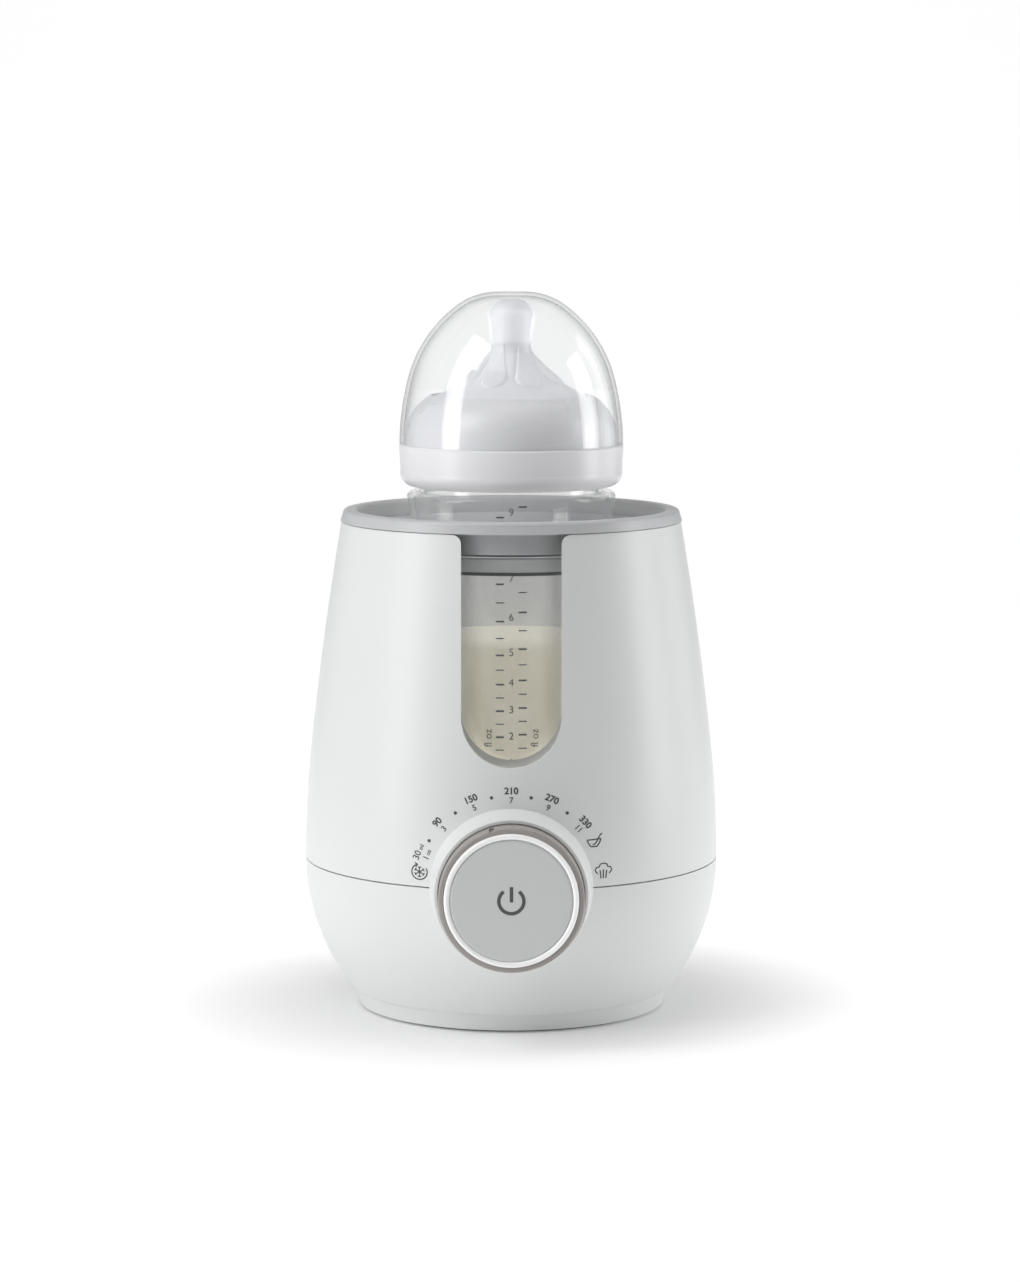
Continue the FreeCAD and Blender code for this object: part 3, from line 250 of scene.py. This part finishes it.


# well: painted paler inside its inner radius, where it shows through the bottle, and darker from its outer
# one; both parts get a painted glow, the inner one more
def wellFinish():
    made = Finish("wellGrey")
    flat = made.add("ShaderNodeVectorMath", {"operation": "MULTIPLY"}, {0: made.place(), 1: (1, 1, 0)})
    away = made.add("ShaderNodeVectorMath", {"operation": "LENGTH"}, {0: flat}, out="Value")
    outside = made.eased(away, wellPaintedLight["inner"], wellPaintedLight["outer"], ease="LINEAR")
    scale = made.noise(40, 4)
    paintedLitPale = made.shades(scale, rgb(0.66, 0.665, 0.675), rgb(0.72, 0.725, 0.735))
    tone = made.shades(outside, paintedLitPale, rgb(0.48, 0.485, 0.49))
    # painted glow: the well gives off light of its own, stronger inside the inner radius
    glow = made.shades(outside, rgb(0.24, 0.24, 0.245), rgb(0.09, 0.09, 0.09))
    shader = made.add("ShaderNodeBsdfPrincipled", sockets={
        "Base Color": tone, "Roughness": scale * 0.1 + 0.45, "Emission Color": glow, "Emission Strength": 1.0,
        "Normal": made.bump(made.noise(1700, 2), 0.08)})
    return made.finished(shader)


# milk: a painted glow lights it from within, as if lit inside the bottle
def milkFinish():
    made = Finish("milk")
    swirl = made.noise(38, 3)
    tone = made.shades(swirl, rgb(0.87, 0.82, 0.68), rgb(0.90, 0.85, 0.72))
    shader = made.add("ShaderNodeBsdfPrincipled", sockets={
        "Base Color": tone, "Roughness": 0.28 + swirl * 0.1, "Subsurface Weight": 0.3,
        "Subsurface Radius": (0.006, 0.005, 0.004), "Subsurface Scale": 1.0,
        "Emission Color": tone, "Emission Strength": 0.42})
    return made.finished(shader)


# circuit board: solder mask over a faint grid of tracks
def circuitFinish():
    made = Finish("circuitBoard")
    tracks = made.add("ShaderNodeTexBrick", {"offset": 0.37}, {
        "Vector": made.place(), "Scale": 260.0, "Mortar Size": 0.035, "Color1": rgb(0, 0, 0),
        "Color2": rgb(0.2, 0.2, 0.2), "Mortar": rgb(1, 1, 1)})
    level = made.add("ShaderNodeRGBToBW", sockets={"Color": tracks})
    tone = made.shades(level, rgb(0.02, 0.16, 0.07), rgb(0.06, 0.34, 0.15))
    shader = made.add("ShaderNodeBsdfPrincipled", sockets={
        "Base Color": tone, "Roughness": 0.3 + level * 0.15, "Normal": made.bump(level, 0.3)})
    return made.finished(shader)


def inkFinish(name, colour):
    made = Finish(name)
    speck = made.noise(2400, 2)
    tone = made.shades(speck, rgb(*colour, 0.9), rgb(*colour, 1.15))
    shader = made.add("ShaderNodeBsdfPrincipled", sockets={
        "Base Color": tone, "Roughness": 0.5 + speck * 0.1})
    return made.finished(shader)


finishes = {
    "white_shell": moulded("whiteShell", (0.80, 0.815, 0.81), 0.36),
    "grey_rubber": rubbery("greyRubber", (0.16, 0.165, 0.17)),
    "grey_trim": moulded("greyTrim", (0.57, 0.575, 0.585), 0.34),
    "well_grey": wellFinish(),
    # the lens gets painted shade at its sides
    "clear_lens": clearWall("clearLens", rgb(0.985, 0.987, 0.987), 0.015, 0.2, 5.0, rgb(0.16, 0.165, 0.165),
                            paintedSideShade=0.14),
    "steel": metallic("steel", (0.62, 0.62, 0.63), 0.32),
    "aluminium": metallic("aluminium", (0.72, 0.73, 0.74), 0.4, (30, 1, 1)),
    "knob_grey": moulded("knobGrey", (0.36, 0.335, 0.32), 0.3, grain=0.03),
    "dark_plastic": moulded("darkPlastic", (0.03, 0.03, 0.035), 0.45, grain=0.15),
    "light_ring": moulded("lightRing", (0.88, 0.88, 0.88), 0.25, grain=0.01, coat=0.3, glow=0.14),
    "silver_button": moulded("silverButton", (0.66, 0.67, 0.67), 0.42, grain=0.05, grainScale=2600),
    "circuit_green": circuitFinish(),
    "led_white": moulded("ledLens", (0.9, 0.85, 0.62), 0.15, grain=0.0, coat=0.5),
    "transformer_yellow": moulded("windingTape", (0.62, 0.42, 0.05), 0.4, grain=0.3, grainScale=400),
    "relay_blue": moulded("relayCase", (0.04, 0.10, 0.34), 0.25, coat=0.3),
    "terminal_grey": moulded("terminalGrey", (0.25, 0.28, 0.25), 0.5),
    "lead_sleeve": rubbery("leadSleeve", (0.62, 0.60, 0.56)),
    "ribbon_grey": moulded("ribbonGrey", (0.36, 0.36, 0.38), 0.5, grain=0.4, grainScale=900),
    "clear_bottle": clearWall("clearBottle", rgb(0.988, 0.99, 0.99), 0.07, 0.35, 6.0, rgb(0.62, 0.63, 0.64)),
    "milk": milkFinish(),
    "silicone": siliconeFinish(),
    # the white ring glows a little: painted light
    "white_ring": moulded("whiteRing", (0.86, 0.86, 0.885), 0.28, grain=0.03, glow=0.05),
    "clear_cap": clearWall("clearCap", rgb(0.994, 0.995, 0.996), 0.012, 0.45, 8.0, rgb(0.5, 0.51, 0.53)),
}
inks = {
    "housing": inkFinish("greyInk", (0.085, 0.088, 0.09)),
    "bottle": inkFinish("bottleInk", (0.17, 0.17, 0.17)),
}


def finishNodes():
    slots = {part["node"]: part["material_slot"] for part in frame["record"]["subparts"]}
    for name, node in frame["nodes"].items():
        for slot in node.material_slots:
            slot.material = finishes[slots[name]]


finishNodes()
print("finishes made:", len(finishes) + len(inks))


# shared ways of making pieces

digitShare = 0.729    # of a text's size, how much its digits fill
farFront = -0.3    # where a ray that looks for the front of something starts


def placed(name, mesh, finish):
    data = bpy.data.meshes.new(name)
    mesh.to_mesh(data)
    mesh.free()
    data.materials.append(finish)
    piece = bpy.data.objects.new(name, data)
    scene.collection.objects.link(piece)
    return piece


def added(name, mesh, finish, body, smoothAngle=35):
    piece = placed(name, mesh, finish)
    for face in piece.data.polygons:
        face.use_smooth = True
    piece.data.set_sharp_from_angle(angle=math.radians(smoothAngle))
    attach(piece, body)
    return piece


def merged(nodeName):
    mesh = bmesh.new()
    mesh.from_mesh(frame["nodes"][nodeName].data)
    bmesh.ops.remove_doubles(mesh, verts=mesh.verts, dist=1e-6)
    return mesh


def surfaceOf(*nodeNames):
    mesh = bmesh.new()
    for name in nodeNames:
        mesh.from_mesh(frame["nodes"][name].data)
    tree = BVHTree.FromBMesh(mesh)
    mesh.free()
    return tree


def frontOf(surface, across, up):
    # how deep the surface lies there, seen from the front
    hit = surface.ray_cast(Vector((across, farFront, up)), Vector((0, 1, 0)))[0]
    return hit.y if hit else 0.0


def spun(mesh, axis, steps):
    bmesh.ops.spin(mesh, geom=mesh.verts[:] + mesh.edges[:], cent=(0, 0, 0), axis=axis, dvec=(0, 0, 0),
                   angle=2 * math.pi, steps=steps, use_merge=True, use_duplicate=False)


def fromCurve(data):
    # a curve's mesh, as a bmesh, with the curve and its object thrown away
    holder = bpy.data.objects.new("holder", data)
    scene.collection.objects.link(holder)
    flat = bpy.data.meshes.new_from_object(holder)
    made = bmesh.new()
    made.from_mesh(flat)
    bpy.data.objects.remove(holder)
    bpy.data.curves.remove(data)
    bpy.data.meshes.remove(flat)
    return made


def printedText(words, height, weight=0.0):
    # flat text, its digits that tall, centred on its own origin
    data = bpy.data.curves.new(words, "FONT")
    data.body, data.align_x, data.resolution_u = words, "CENTER", 6
    data.size, data.offset, data.extrude = height / digitShare, weight, 0.5
    made = fromCurve(data)
    bmesh.ops.triangulate(made, faces=made.faces)
    low = min(v.co.y for v in made.verts)
    high = max(v.co.y for v in made.verts)
    bmesh.ops.translate(made, verts=made.verts, vec=(0, -(low + high) / 2, 0))
    return made


def drawnStroke(points, width, bend=2):
    # a pen stroke through or near its points: a round one, which is flattened when it is laid on
    data = bpy.data.curves.new("stroke", "CURVE")
    data.dimensions, data.bevel_depth, data.bevel_resolution = "3D", width / 2, 3
    data.resolution_u, data.use_fill_caps = 8, True
    line = data.splines.new("NURBS")
    line.points.add(len(points) - 1)
    for spot, (across, up) in zip(line.points, points):
        spot.co = (across, up, 0, 1)
    line.order_u = bend + 1
    line.use_endpoint_u = True
    made = fromCurve(data)
    for vert in made.verts:
        vert.co.z /= width
    return made


def spotAt(turn, radius):
    # the point that many degrees clockwise from the top
    angle = math.radians(turn)
    return radius * math.sin(angle), radius * math.cos(angle)


def arcPoints(radius, start, end, count):
    return [spotAt(start + (end - start) * place / (count - 1), radius) for place in range(count)]


def gathered(parts):
    # parts: (mesh, (across, up), turn in degrees, size); joined into one flat drawing
    whole = bmesh.new()
    for part, spot, turn, size in parts:
        bmesh.ops.scale(part, vec=(size, size, 1), verts=part.verts)
        bmesh.ops.rotate(part, cent=(0, 0, 0), matrix=Matrix.Rotation(math.radians(turn), 3, "Z"),
                         verts=part.verts)
        bmesh.ops.translate(part, vec=(*spot, 0), verts=part.verts)
        data = bpy.data.meshes.new("part")
        part.to_mesh(data)
        part.free()
        whole.from_mesh(data)
        bpy.data.meshes.remove(data)
    return whole


def laidOn(drawing, surface, lift, sunk):
    # lays a flat drawing on the front of a surface: across is X, up is Z, and depth is pressed flat
    for vert in drawing.verts:
        across, up, depth = vert.co
        vert.co = (across, frontOf(surface, across, up) + (-lift if depth > 0 else sunk), up)
    bmesh.ops.recalc_face_normals(drawing, faces=drawing.faces)
    return drawing


# printed scale round the dial

dialPrint = {
    "stepTurn": 12.0,
    "outerRow": 30.2 * mm,
    "innerRow": 27.4 * mm,
    "dotRow": 28.7 * mm,
    "digits": 2.05 * mm,
    "ink": 0.05 * mm,
    "weight": 0.09 * mm,
    "line": 0.42 * mm,
    "amounts": [(-4, "90", "3"), (-2, "150", "5"), (0, "210", "7"), (2, "270", "9"), (4, "330", "11")],
    "dots": [-5, -3, -1, 1, 3],
    "dotSize": 0.52 * mm,
    "ounceSize": 0.88,
    "firstTurn": -69.0,
    "firstWords": [("30", 1.0, -2.2, "outerRow"), ("ml", 0.62, 3.2, "outerRow"),
                   ("1", 0.88, -1.6, "innerRow"), ("oz", 0.62, 2.3, "innerRow")],
    "unitDrop": 0.3 * mm,
    "bowl": (61.0, 28.6 * mm),
    "steam": (80.5, 28.3 * mm),
    "thaw": (-80.5, 28.2 * mm),
}


def dialHeight():
    low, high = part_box("dial_knob")
    return (low[2] + high[2]) / 2


def around(turn, radius):
    across, up = spotAt(turn, radius)
    return across, dialHeight() + up


def bowlStrokes(width):
    return [
        drawnStroke([(-2.1, 0.75), (0.1, 0.85), (2.1, 1.0)], width, 1),
        drawnStroke([(-2.1, 0.75), (-1.8, -0.2), (-1.0, -1.2), (-0.9, -1.3), (0.9, -1.3), (1.0, -1.2),
                     (1.8, -0.1), (2.1, 1.0)], width),
        drawnStroke([(2.5, 2.6), (2.0, 2.4), (1.5, 1.6), (0.9, 0.3), (0.3, -0.6), (-0.4, -0.7)], width),
    ]


def steamStrokes(width):
    cloud = [(-1.7, -0.5), (-2.6, 0.2), (-2.2, 1.5), (-1.2, 1.4), (-1.1, 2.4), (0.0, 2.6),
             (1.1, 2.4), (1.2, 1.4), (2.2, 1.5), (2.6, 0.2), (1.7, -0.5)]
    strokes = [drawnStroke(cloud, width)]
    for lean in (-1, 0, 1):
        top = 0.5 + 0.2 * (1 - abs(lean))    # the middle wisp stands a little taller
        strokes.append(drawnStroke([(lean * 0.75, -2.0), (lean * 0.85, -0.9), (lean, top)], width))
    return strokes


def thawStrokes(width):
    strokes = [drawnStroke(arcPoints(2.35, 60, 340, 19), width),
               drawnStroke([(-1.4, 2.75), (-0.6, 2.2), (-1.2, 1.5)], width, 1)]
    fine = width * 0.9
    for turn in range(0, 360, 60):
        strokes.append(drawnStroke([(0, 0), spotAt(turn, 1.45)], fine, 1))
        strokes.append(drawnStroke(arcPoints(1.5, turn - 20, turn + 20, 2), fine, 1))
    return strokes


def dialAmounts():
    settings = dialPrint
    digits, weight, first = settings["digits"], settings["weight"], settings["firstTurn"]
    parts = []
    for steps, millilitres, ounces in settings["amounts"]:
        turn = steps * settings["stepTurn"]
        parts.append((printedText(millilitres, digits, weight), around(turn, settings["outerRow"]), -turn, 1))
        parts.append((printedText(ounces, digits * settings["ounceSize"], weight / 2),
                      around(turn, settings["innerRow"]), -turn, 1))
    for words, size, aside, row in settings["firstWords"]:
        radius = settings[row] - (settings["unitDrop"] if words.isalpha() else 0)
        parts.append((printedText(words, digits * size, weight / 2),
                      around(first + aside, radius), -first, 1))
    return parts


def dialDots():
    parts = []
    for steps in dialPrint["dots"]:
        dot = bmesh.new()
        bmesh.ops.create_cone(dot, cap_ends=True, segments=20, radius1=dialPrint["dotSize"],
                              radius2=dialPrint["dotSize"], depth=1)
        bmesh.ops.triangulate(dot, faces=dot.faces)
        parts.append((dot, around(steps * dialPrint["stepTurn"], dialPrint["dotRow"]), 0, 1))
    return parts


def dialIcons():
    line = dialPrint["line"] / mm
    icons = {"bowl": bowlStrokes(line), "steam": steamStrokes(line), "thaw": thawStrokes(line)}
    parts = []
    for name, strokes in icons.items():
        parts += [(stroke, around(*dialPrint[name]), 0, mm) for stroke in strokes]
    return parts


def makeDialPrint():
    whole = gathered(dialAmounts() + dialDots() + dialIcons())
    drawing = laidOn(whole, surfaceOf("upper_housing"), dialPrint["ink"], dialPrint["ink"])
    added("dialScale", drawing, inks["housing"], "housing")


makeDialPrint()
print("dial print laid on")


# soft step where the dial's bezel rises out of the shell

bezelBlend = {
    "inside": 22.15 * mm,
    "flatTo": 23.0 * mm,
    "outside": 24.9 * mm,
    "rings": 12,
    "lift": 0.03 * mm,
    "thickness": 0.25 * mm,
    "steps": 180,
    "seamBand": 0.7 * mm,
    "readFrom": 25.2 * mm,    # the shell is read no nearer to the dial's axis
    "rimBand": 0.01 * mm,
    "rimSink": 0.09 * mm,    # the outer edge ends just under the shell
}


def shellFront(surface, across, up, middle):
    # depth of the shell there, read just above the seam where the seam itself is in the way
    settings = bezelBlend
    if abs(up - middle) < settings["seamBand"]:
        up = middle + settings["seamBand"]
    return frontOf(surface, across, up)


def makeBezelBlend():
    settings = bezelBlend
    middle = dialHeight()
    shell = surfaceOf("upper_housing", "lower_housing")
    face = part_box("dial_bezel")[0][1]
    span = settings["outside"] - settings["inside"]
    radii = [settings["inside"] + span * place / settings["rings"] for place in range(settings["rings"] + 1)]
    mesh = bmesh.new()
    loop = [mesh.verts.new((radius, 0, 0)) for radius in radii]
    loop += [mesh.verts.new((radius, 1, 0)) for radius in reversed(radii)]
    for first, second in zip(loop, loop[1:] + loop[:1]):
        mesh.edges.new((first, second))
    spun(mesh, (0, 1, 0), settings["steps"])
    for vert in mesh.verts:
        across, behind, up = vert.co
        radius = math.hypot(across, up)
        reach = max(radius, settings["readFrom"]) / radius
        shellDepth = shellFront(shell, across * reach, middle + up * reach, middle)
        away = min(1.0, max(0.0, (radius - settings["flatTo"]) / (settings["outside"] - settings["flatTo"])))
        blend = away * away * (3 - 2 * away)
        depth = (face - settings["lift"]) * (1 - blend) + (shellDepth - settings["lift"]) * blend
        sink = settings["thickness"] if behind > 0.5 else 0
        if radius > settings["outside"] - settings["rimBand"]:
            sink += settings["rimSink"]
        vert.co = (across, depth + sink, middle + up)
    bmesh.ops.recalc_face_normals(mesh, faces=mesh.faces)
    added("bezelBlend", mesh, finishes["white_shell"], "housing", 50)


makeBezelBlend()
print("bezel blend made")


# power symbol on the button

powerMark = {
    "radius": 3.7 * mm,
    "line": 1.1 * mm,
    "gap": 38.0,
    "stem": (4.3 * mm, -0.3 * mm),
    "ink": 0.05 * mm,
}


def makePowerMark():
    settings = powerMark
    height = dialHeight()
    ring = arcPoints(settings["radius"], settings["gap"], 360 - settings["gap"], 33)
    top, foot = settings["stem"]
    parts = [(drawnStroke(ring, settings["line"]), (0, height), 0, 1),
             (drawnStroke([(0, top), (0, foot)], settings["line"], 1), (0, height), 0, 1)]
    drawing = laidOn(gathered(parts), surfaceOf("power_button"), settings["ink"], settings["ink"])
    added("powerMark", drawing, inks["housing"], "button")


makePowerMark()
print("power mark laid on")


# graduations on the bottle: two columns of marks, for two sizes of ounce, with the numbers between

bottleScale = {
    "rightMarks": [82.2, 90.6, 98.9, 107.4, 116.9, 128.0, 140.1, 151.2, 160.7],
    "leftMarks": [81.8, 89.8, 97.9, 106.1, 115.0, 125.2, 136.6, 147.7, 157.4],
    "column": 3.5 * mm,
    "dash": 2.5 * mm,
    "line": 0.55 * mm,
    "thinLine": 0.36 * mm,
    "digits": 2.4 * mm,
    "ink": 0.05 * mm,
    "sunk": 0.01 * mm,
    "labelHeight": 89.5 * mm,
    "labelColumn": 7.2 * mm,
}


def makeBottleScale():
    settings = bottleScale
    parts = []
    half = settings["dash"] / 2
    for side, marks in ((1, settings["rightMarks"]), (-1, settings["leftMarks"])):
        across = side * settings["column"]
        between = [(low + high) / 2 for low, high in zip(marks, marks[1:-1])]    # none just below the highest
        for heights, width in ((marks, settings["line"]), (between, settings["thinLine"])):
            for height in heights:
                line = [(across + step * half, height * mm) for step in (-1, 0, 1)]
                parts.append((drawnStroke(line, width, 1), (0, 0), 0, 1))
    for number, (left, right) in enumerate(zip(settings["leftMarks"], settings["rightMarks"]), 1):
        parts.append((printedText(str(number), settings["digits"]), (0, (left + right) / 2 * mm), 0, 1))
    for side in (-1, 1):
        parts.append((printedText("fl oz", settings["digits"]),
                      (side * settings["labelColumn"], settings["labelHeight"]), 90, 1))
    drawing = laidOn(gathered(parts), surfaceOf("bottle_shell"), settings["ink"], settings["sunk"])
    added("bottleScale", drawing, inks["bottle"], "bottle")


makeBottleScale()
print("bottle scale laid on")


# teat: the turned shape with raised teardrop petals round its cone

petals = {
    "count": 8,
    "proud": 0.8 * mm,
    "groove": 0.22 * mm,
    "grooveWidth": 0.05,
    "low": 196.2 * mm,
    "high": 209.5 * mm,
    "halfWidth": 0.30,
    "widest": 0.24,
    "taper": 0.9,
    "steepness": 3.2,
    "tipShare": 0.4,
    "steps": 288,
    "longEdge": 0.5 * mm,
    "cuts": 3,
}


def sectionOf(nodeName):
    # the outline of a turned node on the +X side of its axis, as a wire
    wire = merged(nodeName)
    everything = wire.verts[:] + wire.edges[:] + wire.faces[:]
    bmesh.ops.bisect_plane(wire, geom=everything, dist=1e-7, plane_co=(0, 0, 0), plane_no=(0, 1, 0),
                           clear_inner=True, clear_outer=True)
    bmesh.ops.delete(wire, geom=[v for v in wire.verts if v.co.x < -1e-7], context="VERTS")
    return wire


def petalHeight(vert):
    settings = petals
    along = (vert.co.z - settings["low"]) / (settings["high"] - settings["low"])
    if not 0 < along < 1:
        return 0.0
    spacing = 2 * math.pi / settings["count"]
    away = abs(math.atan2(vert.co.x, -vert.co.y) % spacing - spacing / 2)
    if along < settings["widest"]:
        taper = math.sqrt(1 - (1 - along / settings["widest"]) ** 2)
    else:
        taper = ((1 - along) / (1 - settings["widest"])) ** settings["taper"]
    width = settings["halfWidth"] * taper
    if away >= width:
        beside = (away - width) / settings["grooveWidth"]
        return -settings["groove"] * math.sin(math.pi * beside) * taper if beside < 1 else 0.0
    inside = 1 - (away / width) ** 2
    tip = settings["tipShare"]
    return settings["proud"] * min(1.0, inside * settings["steepness"]) * (tip + (1 - tip) * taper)


def makeTeat():
    mesh = sectionOf("teat")
    long = [edge for edge in mesh.edges if edge.calc_length() > petals["longEdge"]]
    bmesh.ops.subdivide_edges(mesh, edges=long, cuts=petals["cuts"])
    spun(mesh, (0, 0, 1), petals["steps"])
    bmesh.ops.remove_doubles(mesh, verts=mesh.verts, dist=1e-6)
    bmesh.ops.recalc_face_normals(mesh, faces=mesh.faces)
    mesh.normal_update()
    outside = [v for v in mesh.verts if v.normal.z > 0 or v.normal.xy.dot(v.co.xy) > 0]
    moves = [(v, v.normal * petalHeight(v)) for v in outside]
    for vert, move in moves:
        vert.co += move
    piece = added("teatPetals", mesh, finishes["silicone"], "nipple", 60)
    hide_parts("teat")


makeTeat()
print("teat made")


# milk: its level a little lower in the bottle, and its edge still against the wall

milkPour = {
    "drop": 3.2 * mm,
    "bendFrom": 100.0 * mm,
    "swell": 0.0235,
}


def makeMilk():
    settings = milkPour
    mesh = merged("milk")
    foot = settings["bendFrom"]
    depth = max(vert.co.z for vert in mesh.verts) - foot
    for vert in mesh.verts:
        along = max(0.0, (vert.co.z - foot) / depth)
        grown = 1 + settings["swell"] * along * along
        vert.co = (vert.co.x * grown, vert.co.y * grown, vert.co.z - along * settings["drop"])
    bmesh.ops.recalc_face_normals(mesh, faces=mesh.faces)
    piece = added("milkPoured", mesh, finishes["milk"], "bottle")
    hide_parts("milk")


makeMilk()
print("milk made")


# stage: a white table that turns up into a wall, soft boxes at the sides and above, a dark room in front

stage = {
    "halfWidth": 0.8,
    "front": -1.0,
    "back": 3.6,
    "wallHeight": 0.7,
    "nearGlow": 0.12,
    "farGlow": 0.95,
    "glowStart": 0.05,
    "glowEnd": 0.13,
    "glowFront": (-0.45, -0.34),
    "glowSide": (0.40, 0.22),
    "glowSpread": 0.15,
    "roomLight": 0.22,
    "roomFade": (-1.0, 0.2),
    "aimHeight": 0.11,
}


def tableFinish():
    # the table glows behind the warmer, not under it or well in front of it
    made = Finish("tableWhite")
    away = made.add("ShaderNodeVectorMath", {"operation": "LENGTH"}, {0: made.place()}, out="Value")
    behind = made.along("Y")
    inFront = made.eased(behind, *stage["glowFront"])
    beside = made.eased(abs(made.along("X")) - behind * stage["glowSpread"], *stage["glowSide"])
    reach = made.eased(away, stage["glowStart"], stage["glowEnd"]) * inFront * beside
    glow = made.shades(reach, rgb(1, 1, 1, stage["nearGlow"]), rgb(1, 1, 1, stage["farGlow"]))
    tone = made.shades(reach, rgb(0.8, 0.8, 0.8), rgb(0.12, 0.12, 0.12))
    return made.finished(made.add("ShaderNodeBsdfPrincipled", sockets={
        "Base Color": tone, "Roughness": 0.9, "Emission Color": glow, "Emission Strength": 1.0}))


def makeFloor():
    mesh = bmesh.new()
    bmesh.ops.create_grid(mesh, x_segments=1, y_segments=1, size=1)
    for vert in mesh.verts:
        vert.co = (vert.co.x * stage["halfWidth"], stage["back"] if vert.co.y > 0 else stage["front"], 0)
    backEdge = [edge for edge in mesh.edges if all(vert.co.y > 0 for vert in edge.verts)]
    raised = bmesh.ops.extrude_edge_only(mesh, edges=backEdge)["geom"]
    bmesh.ops.translate(mesh, verts=[v for v in raised if isinstance(v, bmesh.types.BMVert)],
                        vec=(0, 0, stage["wallHeight"]))
    bmesh.ops.recalc_face_normals(mesh, faces=mesh.faces)
    table = placed("table", mesh, tableFinish())


def makeWorld():
    made = Finish("studio", "worlds")
    way = made.add("ShaderNodeTexCoord", out="Generated")
    behind = made.add("ShaderNodeSeparateXYZ", sockets={"Vector": way}, out="Y")
    light = made.eased(behind, *stage["roomFade"], stage["roomLight"])
    glow = made.add("ShaderNodeBackground", sockets={"Color": rgb(1, 1, 1), "Strength": light})
    scene.world = made.finished(glow, "ShaderNodeOutputWorld")


softBoxes = {
    "leftBox": {"turn": -65, "rise": 12, "away": 1.0, "size": (0.35, 1.0), "power": 4.9},
    "rightBox": {"turn": 90, "rise": 12, "away": 1.0, "size": (0.35, 1.0), "power": 5.0},
    "rightBackBox": {"turn": 120, "rise": 12, "away": 1.0, "size": (0.35, 1.0), "power": 1.3},
    "topBox": {"turn": 0, "rise": 85, "away": 1.2, "size": (0.8, 0.8), "power": 2.9},
    "topLeftBox": {"turn": -60, "rise": 50, "away": 1.2, "size": (0.5, 0.5), "power": 4.0},
    "topFrontBox": {"turn": -15, "rise": 50, "away": 1.3, "size": (0.5, 0.5), "power": 0.7},
}


def makeLights():
    middle = Vector((0, 0, stage["aimHeight"]))
    for name, box in softBoxes.items():
        data = bpy.data.lights.new(name, "AREA")
        data.shape, (data.size, data.size_y) = "RECTANGLE", box["size"]
        data.energy = box["power"]
        turn, rise = math.radians(box["turn"]), math.radians(box["rise"])
        towards = Vector((math.sin(turn) * math.cos(rise), -math.cos(turn) * math.cos(rise), math.sin(rise)))
        lamp = bpy.data.objects.new(name, data)
        scene.collection.objects.link(lamp)
        lamp.location = middle + towards * box["away"]
        lamp.rotation_euler = towards.to_track_quat("Z", "Y").to_euler()


makeFloor()
makeWorld()
makeLights()
print("stage lit")
